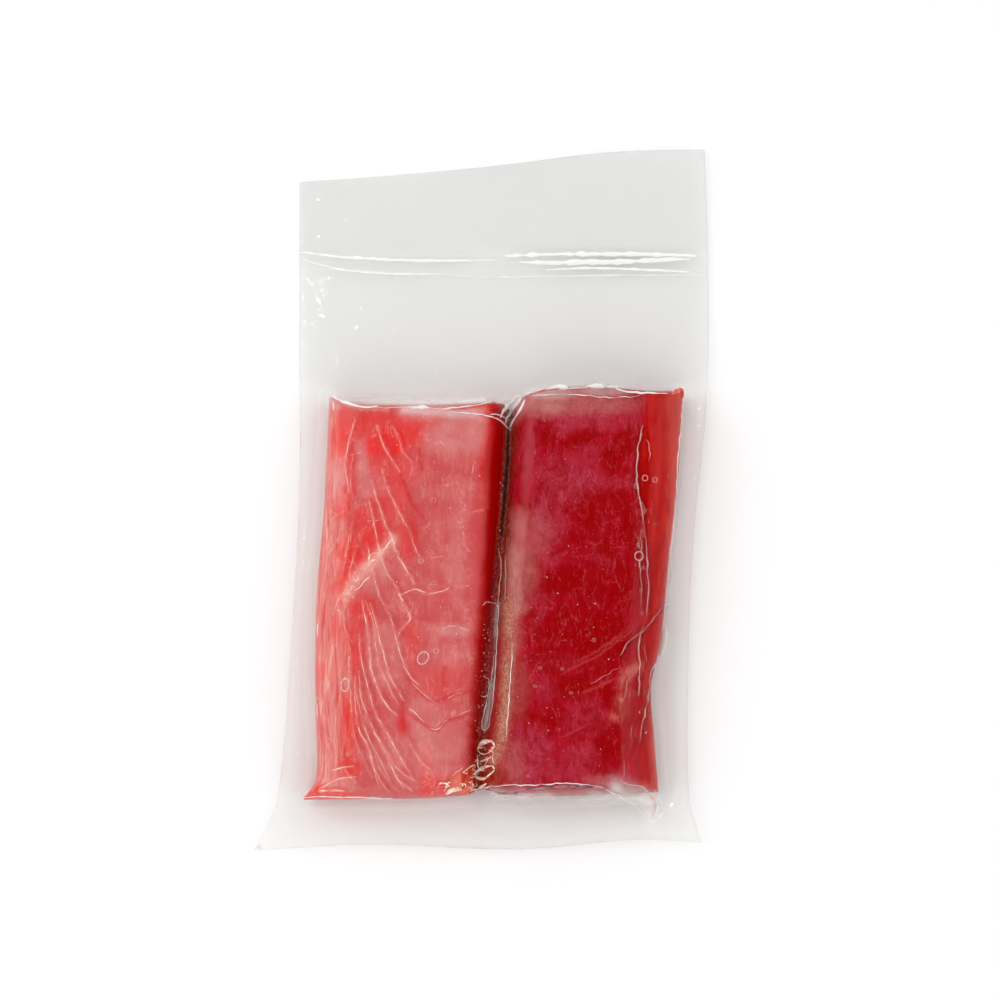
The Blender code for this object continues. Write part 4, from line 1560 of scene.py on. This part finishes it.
def build_fillet(fillet, material):
    """One fillet: a finely cut top with its flakes and seams over a plainer underside."""
    across = ((fillet.west, fillet.east, with_far_end(crowded(MEAT_COLUMNS))),)
    along = ((fillet.foot, fillet.head, with_far_end(crowded(MEAT_ROWS))),)
    plan = net(across, along)
    x, y = plan[..., 0], plan[..., 1]
    upper = np.dstack([x, y, flesh_top(fillet, x, y)])
    rough = UNDERSIDE_ROUGHNESS * clouds(x, y, 6.0, 131) * smoothstep(side_inset(fillet, x, y) / 5)
    underside = np.maximum(underside_height(fillet, x, y) + rough, FILM_REST + FILM_GAP)
    lower = np.dstack([x, y, underside])
    points, faces = closed_pair(upper, lower, UNDERSIDE_STEP, welded=False)
    piece = new_piece(fillet.node.replace("fillet", "meat"), points, faces, material)
    px, py, pz = points.T
    for name, values in meat_masks(fillet, px, py, pz).items():
        store(piece, name, values)
    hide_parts(fillet.node)
    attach(piece, "root")
    return piece


def film_net():
    """The film's plan net, with lines along the fillets' edges and the seal. Each span has its own cuts."""
    columns = (
        (pouch_left, left_outer, even(14)),
        (left_outer, groove_left, crowded(99)),
        (groove_left, groove_right, even(3)),
        (groove_right, right_outer, crowded(95)),
        (right_outer, pouch_right, with_far_end(even(14))),
    )
    rows = (
        (pouch_foot, fillet_foot, even(22)),
        (fillet_foot, fillet_head, crowded(222)),
        (fillet_head, seal_start, even(40)),
        (seal_start, seal_end, even(36)),
        (seal_end, pouch_mouth, with_far_end(even(28))),
    )
    return net(columns, rows)


def build_film(material):
    """The pouch: a tight front sheet and a flat back sheet, welded along the rim."""
    plan = film_net()
    x, y = plan[..., 0], plan[..., 1]
    front, back = front_sheet(x, y), back_sheet(x, y)
    border = np.zeros(x.shape, bool)
    border[0] = border[-1] = True
    border[:, 0] = border[:, -1] = True
    front = np.where(border, back + FILM_GAP / 2, front)
    points, faces = closed_pair(
        np.dstack([x, y, front]), np.dstack([x, y, back]), UNDERSIDE_STEP, welded=True
    )
    piece = new_piece("film", points, faces, material)
    px, py, pz = points.T
    gap = gap_to_fillets(px, py)
    over_groove = bell(px - groove(py), 1.6) * (gap <= 0)
    free = np.maximum(smoothstep(gap / HAZE_RUN), 0.03 * over_groove)
    header = smoothstep((py - HEADER_START) / 10)
    column, row = picture_at(px, py, pz)
    # Painted highlights and reflections, with some milky haze, raised in the film's haze where it shows white
    cloudy = np.maximum(
        strongest_patch(column, row, FILM_GLINT_AND_HAZE_PATCHES, 1.0), strongest_line(column, row, FILM_GLINT_AND_HAZE_LINES)
    )
    cloudy = cloudy * (1 + 0.4 * clouds(px, py, 4.0, 191))
    streaks = smoothstep(0.5 + 0.6 * cloud(px, 0.5 * pz, 6.0, 197) + 0.4 * cloud(px, pz, 2.4, 199))
    # On the film's face over the fillets' feet the painted white is broken into streaks
    foot_face = (py < FOOT_FACE_END) & (pz > FOOT_FACE_LOW)
    cloudy = np.where(foot_face, cloudy * (0.45 + 0.7 * streaks), cloudy)
    beyond_seal = 1 + 0.45 * smoothstep((py - SEAL_END) / 3)
    margin = 1 - 0.25 * (1 - header)
    store(piece, "haze", free * beyond_seal * margin + cloudy)
    store(piece, "header", header)
    store(piece, "tight", 0.15 + 0.85 * (1 - smoothstep(gap / 5)))
    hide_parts("film_front", "film_back")
    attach(piece, "root")
    return piece


# Strands, rims and drops with Geometry Nodes


def new_tree(name, inputs):
    """An empty node tree from geometry to geometry, with further named inputs: (name, kind)."""
    tree = bpy.data.node_groups.new(name, "GeometryNodeTree")
    for label, kind in (("Geometry", "NodeSocketGeometry"), *inputs):
        tree.interface.new_socket(label, in_out="INPUT", socket_type=kind)
    tree.interface.new_socket("Geometry", in_out="OUTPUT", socket_type="NodeSocketGeometry")
    return tree


def number_of_point(tree, name, kind="FLOAT"):
    """A number or vector that each point carries under that name."""
    node = tree.nodes.new("GeometryNodeInputNamedAttribute")
    node.data_type = kind
    node.inputs["Name"].default_value = name
    return node.outputs["Attribute"]


def end_tree(tree, geometry, material):
    """Ends a tree with real meshes of one material."""
    realize = tree.nodes.new("GeometryNodeRealizeInstances")
    finish = tree.nodes.new("GeometryNodeSetMaterial")
    finish.inputs["Material"].default_value = material
    target = tree.nodes.new("NodeGroupOutput")
    tree.links.new(geometry, realize.inputs["Geometry"])
    tree.links.new(realize.outputs["Geometry"], finish.inputs["Geometry"])
    tree.links.new(finish.outputs["Geometry"], target.inputs["Geometry"])


def strand_tree(material, flatness):
    """Geometry Nodes: turns a net of edges with a half width per point into smooth flattened strands."""
    tree = new_tree("Strands", (("Spacing", "NodeSocketFloat"), ("Sides", "NodeSocketInt")))
    nodes, link = tree.nodes, tree.links.new
    source = nodes.new("NodeGroupInput")
    curve = nodes.new("GeometryNodeMeshToCurve")
    spline = nodes.new("GeometryNodeCurveSplineType")
    spline.spline_type = "CATMULL_ROM"
    resample = nodes.new("GeometryNodeResampleCurve")
    resample.mode = "LENGTH"
    upright = nodes.new("GeometryNodeSetCurveNormal")
    upright.mode = "Z_UP"
    circle = nodes.new("GeometryNodeCurvePrimitiveCircle")
    circle.inputs["Radius"].default_value = 1.0
    flatten = nodes.new("GeometryNodeTransform")
    flatten.inputs["Scale"].default_value = (1.0, flatness, 1.0)
    tube = nodes.new("GeometryNodeCurveToMesh")
    tube.inputs["Fill Caps"].default_value = True
    link(source.outputs["Geometry"], curve.inputs["Mesh"])
    link(curve.outputs["Curve"], spline.inputs["Curve"])
    link(spline.outputs["Curve"], resample.inputs["Curve"])
    link(source.outputs["Spacing"], resample.inputs["Length"])
    link(resample.outputs["Curve"], upright.inputs["Curve"])
    link(upright.outputs["Curve"], tube.inputs["Curve"])
    link(number_of_point(tree, "half_width"), tube.inputs["Scale"])
    link(source.outputs["Sides"], circle.inputs["Resolution"])
    link(circle.outputs["Curve"], flatten.inputs["Geometry"])
    link(flatten.outputs["Geometry"], tube.inputs["Profile Curve"])
    end_tree(tree, tube.outputs["Mesh"], material)
    return tree


def ring_tree(material):
    """Geometry Nodes: the rim of a bubble on every point, sized and turned by the point's own numbers."""
    tree = new_tree("Rings", (("Detail", "NodeSocketInt"),))
    nodes, link = tree.nodes, tree.links.new
    source = nodes.new("NodeGroupInput")
    circle = nodes.new("GeometryNodeCurvePrimitiveCircle")
    circle.inputs["Radius"].default_value = 1.0
    lip = nodes.new("GeometryNodeCurvePrimitiveCircle")
    lip.inputs["Resolution"].default_value = 8
    lip.inputs["Radius"].default_value = 0.13
    ring = nodes.new("GeometryNodeCurveToMesh")
    rims = nodes.new("GeometryNodeInstanceOnPoints")
    link(source.outputs["Detail"], circle.inputs["Resolution"])
    link(circle.outputs["Curve"], ring.inputs["Curve"])
    link(lip.outputs["Curve"], ring.inputs["Profile Curve"])
    link(source.outputs["Geometry"], rims.inputs["Points"])
    link(ring.outputs["Mesh"], rims.inputs["Instance"])
    link(number_of_point(tree, "size", "FLOAT_VECTOR"), rims.inputs["Scale"])
    link(number_of_point(tree, "turn", "FLOAT_VECTOR"), rims.inputs["Rotation"])
    end_tree(tree, rims.outputs["Instances"], material)
    return tree


def speck_tree(material):
    """Geometry Nodes: a tiny drop on every point, sized by the point's own number."""
    tree = new_tree("Specks", (("Detail", "NodeSocketInt"),))
    nodes, link = tree.nodes, tree.links.new
    source = nodes.new("NodeGroupInput")
    ball = nodes.new("GeometryNodeMeshIcoSphere")
    ball.inputs["Radius"].default_value = 1.0
    drops = nodes.new("GeometryNodeInstanceOnPoints")
    link(source.outputs["Detail"], ball.inputs["Subdivisions"])
    link(source.outputs["Geometry"], drops.inputs["Points"])
    link(ball.outputs["Mesh"], drops.inputs["Instance"])
    link(number_of_point(tree, "size"), drops.inputs["Scale"])
    end_tree(tree, drops.outputs["Instances"], material)
    return tree


def grow(piece, tree, material, values):
    """Runs a node tree on a piece and keeps its result as plain mesh of one material."""
    modifier = piece.modifiers.new("Grow", "NODES")
    modifier.node_group = tree
    for item in tree.interface.items_tree:
        if item.item_type == "SOCKET" and item.in_out == "INPUT" and item.name in values:
            modifier[item.identifier] = values[item.name]
    seen = piece.evaluated_get(bpy.context.evaluated_depsgraph_get())
    mesh = bpy.data.meshes.new_from_object(seen)
    piece.modifiers.clear()
    piece.data = mesh
    mesh.shade_smooth()
    mesh.materials.clear()
    mesh.materials.append(material)


# Strands: the step of their own points, the step of their rings and their least half width, in millimetres
STRAND_STEP = 0.7
STRAND_SPACING = 0.4
STRAND_LEAST = 0.04
STRAND_SIDES = 8
RIM_CUTS = 28


def strand_widths(share, run, number, uneven):
    """Half widths along a strand as shares of its own: thin at its ends and uneven between them."""
    swell = 0.25 + 0.75 * np.sin(np.pi * np.clip(share, 0, 1)) ** 0.5
    return swell * (1 + uneven * clouds(run + 70 * number, run * 0, 3.0, 163))


def build_strands(
    name, paths, surface, lift, material, flatness=0.5, wobble=0.1, dip=0.0, thin=0.8, uneven=0.35
):
    """Strands along picture paths, lying on a surface. Paths are (strength, half width, pixels).

    Flatness is height over width, wobble how far they stray sideways, dip how deep they dive into
    the surface in places, thin a share that narrows them all, and uneven how much they swell.
    """
    paths = [(strength, half_width, rounded(path)) for strength, half_width, path in paths]
    pixels = np.concatenate([path for _, _, path in paths])
    plan = np.stack(plan_at(pixels[:, 0], pixels[:, 1], surface), axis=-1)
    xs, ys, edges, widths = [], [], [], []
    first, used = 0, 0
    for number, (strength, half_width, path) in enumerate(paths):
        corners = plan[used : used + len(path)]
        used += len(path)
        run = np.concatenate(([0.0], np.cumsum(np.hypot(*np.diff(corners, axis=0).T))))
        count = max(int(run[-1] / STRAND_STEP), 4)
        steps = np.linspace(0, run[-1], count + 1)
        x, y = np.interp(steps, run, corners[:, 0]), np.interp(steps, run, corners[:, 1])
        xs.append(smooth_line(x) + wobble * cloud(steps + 40 * number, x * 0, 1.7, 151))
        ys.append(smooth_line(y) + wobble * cloud(steps + 40 * number, x * 0, 1.7, 157))
        width = thin * strength * half_width * strand_widths(steps / run[-1], steps, number, uneven)
        edges += [(first + k, first + k + 1) for k in range(count)]
        first += count + 1
        widths += np.maximum(width, STRAND_LEAST).tolist()
    x, y = np.concatenate(xs), np.concatenate(ys)
    sink = dip * np.maximum(cloud(x * 1.3 + 50, y, 2.6, 167) - 0.15, 0)
    piece = bare_piece(name, np.stack([x, y, surface(x, y) + lift - sink], axis=-1), edges)
    store(piece, "half_width", np.array(widths) * MM)
    sizes = {"Spacing": STRAND_SPACING * MM, "Sides": STRAND_SIDES}
    grow(piece, strand_tree(material, flatness), material, sizes)
    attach(piece, "root")
    return piece


def smooth_line(values):
    """Rounds the corners off a line of numbers, keeping its ends."""
    smooth = values.copy()
    for _ in range(2):
        smooth[1:-1] = (smooth[:-2] + 2 * smooth[1:-1] + smooth[2:]) / 4
    return smooth


def build_bubbles(material):
    """Rims of air bubbles under the film, most of them small beads along the dark fillet's crease, their
    paleness a painted reflection.
    """
    column, row, half_length, half_width, turn = np.array(BUBBLES, float).T
    x, y = plan_at(column, row, front_sheet)
    piece = bare_piece("film_bubbles", np.stack([x, y, front_sheet(x, y)], axis=-1))
    height = np.minimum(half_length, half_width)
    store(piece, "size", np.stack([half_length, half_width, height], axis=-1) * MM)
    store(piece, "turn", np.stack([turn * 0, turn * 0, np.radians(turn)], axis=-1))
    grow(piece, ring_tree(material), material, {"Detail": RIM_CUTS})
    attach(piece, "root")
    return piece


SPECK_COUNT = 190
SPECK_SPANS = ((-52, 62), (-102, 26))
# Specks beside the groove: how many on each of two stretches of it, and how far to its west they lie
GROOVE_SPECKS = ((43, (-24, 0)), (86, (-86, -40)))
GROOVE_SPECK_PLACE = -0.9
GROOVE_SPECK_STRAY = 0.9
GROOVE_SPECK_SHIFT = 1.1
SPECK_DEPTH = 0.03
SPECK_SIZES = (0.06, 0.16)


def build_specks(material):
    """Tiny air bubbles and dots of fat under the film, scattered over both fillets: white dots, partly fat
    and partly painted sparkles.
    """
    rng = np.random.default_rng(7)
    x, y = (rng.uniform(*span, SPECK_COUNT) for span in SPECK_SPANS)
    groove_y = np.concatenate([rng.uniform(*stretch, count) for count, stretch in GROOVE_SPECKS])
    beside = rng.normal(GROOVE_SPECK_PLACE, GROOVE_SPECK_STRAY, len(groove_y))
    beside = beside - GROOVE_SPECK_SHIFT * (groove_y < -40)
    x, y = np.append(x, groove(groove_y) + beside), np.append(y, groove_y)
    z = front_sheet(x, y) - SPECK_DEPTH
    piece = bare_piece("film_specks", np.stack([x, y, z], axis=-1))
    least, extra = SPECK_SIZES
    store(piece, "size", (least + extra * rng.random(len(x)) ** 4) * MM)
    grow(piece, speck_tree(material), material, {"Detail": 2})
    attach(piece, "root")
    return piece


def left_surface(x, y):
    return flesh_top(LEFT_FILLET, x, y)


# The border between the juice's red and dark sides, as (row, column) stations, and its lines in pixels
JUICE_BORDER = (
    (400, 505), (470, 502), (520, 499), (560, 494), (600, 489), (660, 482), (710, 478), (790, 474),
)
GROOVE_SHADOW = ((509, 426), (508, 446), (507, 470), (505, 492), (503, 515), (501, 535))
GROOVE_SEAM = ((501, 530), (498, 550), (496, 575), (490, 600), (482, 640), (478, 690), (477, 740))
GROOVE_SLOT = ((498, 560), (494, 596), (491, 630), (489, 660), (486, 700), (482, 730))
JUICE_FOOT = -104.6
JUICE_HEAD = 26.6
JUICE_COLUMNS = 24
JUICE_ROWS = 420
JUICE_HALF_WIDTH = 2.3
JUICE_BELOW_FILM = 0.28
JUICE_HOLLOW = 0.3
JUICE_RIPPLE = 0.16
JUICE_SIDE_DROP = 0.9
JUICE_END_DROP = 1.5
JUICE_BOTTOM = 2.2


def build_groove_juice(material):
    """Dark juice and scraps that fill the slot between the fillets, up to the film's bridge."""
    across = np.linspace(-1, 1, JUICE_COLUMNS + 1)
    along = np.linspace(JUICE_FOOT, JUICE_HEAD, JUICE_ROWS + 1)
    s, y = np.meshgrid(across, along)
    end = smoothstep((np.minimum(y - JUICE_FOOT, JUICE_HEAD - y) + 0.2) / 2.5)
    x = groove(y) + s * JUICE_HALF_WIDTH * (0.35 + 0.65 * end)
    top = front_sheet(x, y) - JUICE_BELOW_FILM - JUICE_HOLLOW * bell(s, 0.5)
    top = top + JUICE_RIPPLE * clouds(x, y, 1.8, 173) - JUICE_SIDE_DROP * s**4 - JUICE_END_DROP * (1 - end)
    deep = np.minimum(JUICE_BOTTOM + 3.0 * s**2 + 2 * (1 - end), top - 0.3)
    points, faces = closed_pair(np.dstack([x, y, top]), np.dstack([x, y, deep]), 4, welded=False)
    piece = new_piece("groove_juice", points, faces, material)
    px, py, pz = points.T
    column, row = picture_at(px, py, pz)
    ragged = column + 1.4 * cloud(px, py, 1.2, 179)
    # The near-black line is painted shade down the deep groove
    line = near_path(column + 0.3 * (ragged - column), row, GROOVE_SHADOW, 2.2, 0.4)
    line = np.maximum(line, 0.5 * near_path(ragged, row, GROOVE_SEAM, 1.2, 0.3))
    store(piece, "line", np.clip(line, 0, 1))
    store(piece, "slot", np.clip(near_path(ragged, row, GROOVE_SLOT, 4.2, 0.2), 0, 1))
    store(piece, "west", smoothstep((at_row(JUICE_BORDER, row) - ragged) / 6 + 0.5))
    store(piece, "tan", np.clip(near_path(ragged, row, TAN_STRIP, 6.0), 0, 1))
    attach(piece, "root")
    return piece


# Stage

FLOOR_REACH = 3.0
FLOOR_TONE = 0.93
# The room's ceiling is dark: where it begins and ends to darken, from 0 at the horizon to 1 overhead,
# and the share of light that it still gives
CEILING_START = 0.66
CEILING_END = 0.90
CEILING_SHARE = 0.08
# Lamps that point at the pack: (name, place and side in metres, share of the lamp power)
LAMPS = (
    ("left_box", (-0.80, 0.25, 0.80), 0.90, 0.76),
    ("right_box", (0.85, 0.05, 0.75), 1.05, 0.42),
    ("front_box", (-0.10, -0.90, 0.80), 0.60, 0.35),
    ("spark_a", (-0.30, 0.36, 0.90), 0.08, 0.11),
    ("spark_b", (0.42, 0.10, 0.90), 0.08, 0.08),
    ("spark_c", (-0.60, -0.20, 0.75), 0.08, 0.08),
)


def build_floor():
    """A plain pale floor."""
    corners = [(-FLOOR_REACH, -FLOOR_REACH, 0), (FLOOR_REACH, -FLOOR_REACH, 0)]
    corners += [(FLOOR_REACH, FLOOR_REACH, 0), (-FLOOR_REACH, FLOOR_REACH, 0)]
    mesh = bpy.data.meshes.new("floor")
    mesh.from_pydata(corners, [], [(0, 1, 2, 3)])
    board = Board("pale_floor")
    shader = board.add("ShaderNodeBsdfDiffuse")
    shader.inputs["Color"].default_value = opaque((FLOOR_TONE, FLOOR_TONE, FLOOR_TONE))
    board.put(board.output.inputs["Surface"], shader.outputs["BSDF"])
    mesh.materials.append(board.material)
    floor = bpy.data.objects.new("floor", mesh)
    bpy.context.scene.collection.objects.link(floor)


def build_room(sky):
    """Soft white light from all round, with a dark ceiling."""
    world = bpy.data.worlds.new("soft_room")
    bpy.context.scene.world = world
    world.use_nodes = True
    tree = world.node_tree
    tree.nodes.clear()
    direction = tree.nodes.new("ShaderNodeTexCoord")
    split = tree.nodes.new("ShaderNodeSeparateXYZ")
    ceiling = tree.nodes.new("ShaderNodeMapRange")
    ceiling.interpolation_type = "SMOOTHSTEP"
    ceiling.inputs["From Min"].default_value = CEILING_START
    ceiling.inputs["From Max"].default_value = CEILING_END
    ceiling.inputs["To Min"].default_value = sky
    ceiling.inputs["To Max"].default_value = sky * CEILING_SHARE
    background = tree.nodes.new("ShaderNodeBackground")
    background.inputs["Color"].default_value = (1.0, 1.0, 1.0, 1.0)
    output = tree.nodes.new("ShaderNodeOutputWorld")
    tree.links.new(direction.outputs["Generated"], split.inputs["Vector"])
    tree.links.new(split.outputs["Z"], ceiling.inputs["Value"])
    tree.links.new(ceiling.outputs["Result"], background.inputs["Strength"])
    tree.links.new(background.outputs["Background"], output.inputs["Surface"])


def build_lamps(power):
    """Three soft boxes, and three small lamps for the sparks on the film."""
    for name, place, side, share in LAMPS:
        lamp = bpy.data.lights.new(name, "AREA")
        lamp.shape = "SQUARE"
        lamp.size = side
        lamp.energy = power * share
        box = bpy.data.objects.new(name, lamp)
        bpy.context.scene.collection.objects.link(box)
        box.location = place
        aim = -box.location
        box.rotation_euler = aim.to_track_quat("-Z", "Y").to_euler()


def build_camera():
    """The camera, steeply above the pack's foot."""
    data = bpy.data.cameras.new("camera")
    data.lens = LENS
    data.sensor_width = SENSOR
    camera = bpy.data.objects.new("camera", data)
    bpy.context.scene.collection.objects.link(camera)
    camera.location = [value * MM for value in camera_place()]
    camera.rotation_euler = (math.radians(90) - CAMERA_ELEVATION, 0, 0)
    bpy.context.scene.camera = camera


# Operators


class TUNA_OT_stage(bpy.types.Operator):
    """Set up the floor, the soft light and the camera"""

    bl_idname = "tuna.stage"
    bl_label = "Build Stage"

    def execute(self, context):
        look = settings()
        context.scene.view_settings.view_transform = "Standard"
        build_floor()
        build_room(look.sky)
        build_lamps(look.lamp)
        build_camera()
        return {"FINISHED"}


class TUNA_OT_fillets(bpy.types.Operator):
    """Build the two fillets with their flakes, tones and white seams"""

    bl_idname = "tuna.fillets"
    bl_label = "Build Fillets"

    def execute(self, context):
        look = settings()
        left = build_fillet(LEFT_FILLET, left_meat_material(look))
        right = build_fillet(RIGHT_FILLET, right_meat_material(look))
        paths = list(LEFT_SEAMS.values()) + list(TORN_FIBRES)
        paths += scattered_curls(TORN_BAND[1:], *TORN_CURLS)
        seams = build_strands(
            "white_seams", paths, left_surface, 0.03, seam_material(),
            wobble=0.14, dip=0.3, thin=0.6, uneven=0.5,
        )
        return {"FINISHED"}


class TUNA_OT_juice(bpy.types.Operator):
    """Fill the groove and the foot of the pack with juice"""

    bl_idname = "tuna.juice"
    bl_label = "Build Juice"

    def execute(self, context):
        build_groove_juice(groove_juice_material())
        foot = build_strands(
            "foot_juice", FOOT_JUICE, front_sheet, -0.1, foot_juice_material(), flatness=0.4
        )
        corner = build_strands(
            "corner_juice", CORNER_JUICE, front_sheet, -0.15, corner_juice_material(),
            flatness=0.4, wobble=0.2,
        )
        foam = list(SCRAPS) + scattered_curls(FOAM_TRAIL, *FOAM_CURLS)
        scraps = build_strands(
            "scraps", foam, front_sheet, -0.1, scrap_material(),
            flatness=0.6, wobble=0.24, dip=0.3, uneven=0.8,
        )
        return {"FINISHED"}


class TUNA_OT_film(bpy.types.Operator):
    """Build the clear pouch with its creases, seal lines and bubbles, whitened as painted glints"""

    bl_idname = "tuna.film"
    bl_label = "Build Film"

    def execute(self, context):
        look = settings()
        clear = film_material(
            "clear_film", look.film_haze, look, (0.97, 0.955, 0.93), glance=0.28, wrinkle_mm=0.3, mapped=True
        )
        build_film(clear)
        # The film's folds along the fillets' edges, whitened as painted highlights
        edge = film_material("fold_glint_film", 0.70, look, (0.97, 0.94, 0.92))
        fold_glint_lines = HEAD_FOLD_GLINTS + STAR_FOLD_GLINTS + FOOT_FOLD_GLINTS + SIDE_FOLD_GLINTS
        folds = build_strands(
            "fold_glint_strands", fold_glint_lines, front_sheet, 0.02, edge, wobble=0.24, dip=0.3, uneven=1.0
        )
        # The groove's bubble outline and folds, whitened as painted highlights
        sharp = film_material("sharp_fold_glint_film", 0.95, look, (1.0, 0.88, 0.80))
        groove_fold_glints = build_strands(
            "groove_fold_glints", GROOVE_LINES, front_sheet, 0.05, sharp,
            wobble=0.14, dip=0.15, thin=0.6, uneven=0.8,
        )
        # The edge pockets, pale as a painted reflection
        pocket = film_material("film_pocket", 0.75, look, (0.80, 0.77, 0.73))
        pockets = build_strands(
            "edge_pockets", EDGE_POCKETS, front_sheet, 0.05, pocket, flatness=0.3, wobble=0.15
        )
        # The creases, pinkish white as a painted highlight
        crease = film_material("crease_glint_film", 0.34, look, (0.96, 0.68, 0.60))
        creases = build_strands(
            "crease_glint_strands", FILM_CREASES, front_sheet, 0.02, crease,
            wobble=0.28, dip=0.25, thin=0.75, uneven=0.9,
        )
        # Specks: white dots, partly fat and partly painted sparkles
        specks = build_specks(film_material("film_speck", 0.8, look, (0.95, 0.86, 0.82)))
        # The seal's welded ribs, brightened as painted highlights
        weld = film_material("weld_glint_film", 0.85, look, (1.0, 1.0, 0.98))
        seal_rib_glints = build_strands("seal_rib_glints", SEAL_RIB_GLINTS, front_sheet, 0.04, weld, uneven=0.7)
        # Bubble rims, pale as a painted reflection
        bubbles = build_bubbles(film_material("film_bubble", 0.32, look, (1.0, 0.70, 0.64)))
        return {"FINISHED"}


class TUNA_PT_panel(bpy.types.Panel):
    """Builds the pack piece by piece"""

    bl_idname = "TUNA_PT_panel"
    bl_label = "Tuna Pack"
    bl_space_type = "VIEW_3D"
    bl_region_type = "UI"
    bl_category = "Tuna Pack"

    def draw(self, context):
        layout = self.layout
        look = context.scene.tuna_pack
        for key in TunaPackSettings.__annotations__:
            layout.prop(look, key)
        for operator in (TUNA_OT_stage, TUNA_OT_fillets, TUNA_OT_juice, TUNA_OT_film):
            layout.operator(operator.bl_idname)


CLASSES = (
    TunaPackSettings,
    TUNA_OT_stage,
    TUNA_OT_fillets,
    TUNA_OT_juice,
    TUNA_OT_film,
    TUNA_PT_panel,
)


def register():
    for kind in CLASSES:
        bpy.utils.register_class(kind)
    bpy.types.Scene.tuna_pack = bpy.props.PointerProperty(type=TunaPackSettings)


def unregister():
    del bpy.types.Scene.tuna_pack
    for kind in reversed(CLASSES):
        bpy.utils.unregister_class(kind)


def main():
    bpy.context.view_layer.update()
    register()
    bpy.ops.tuna.stage()
    bpy.ops.tuna.fillets()
    bpy.ops.tuna.juice()
    bpy.ops.tuna.film()


if __name__ == "__main__":
    main()
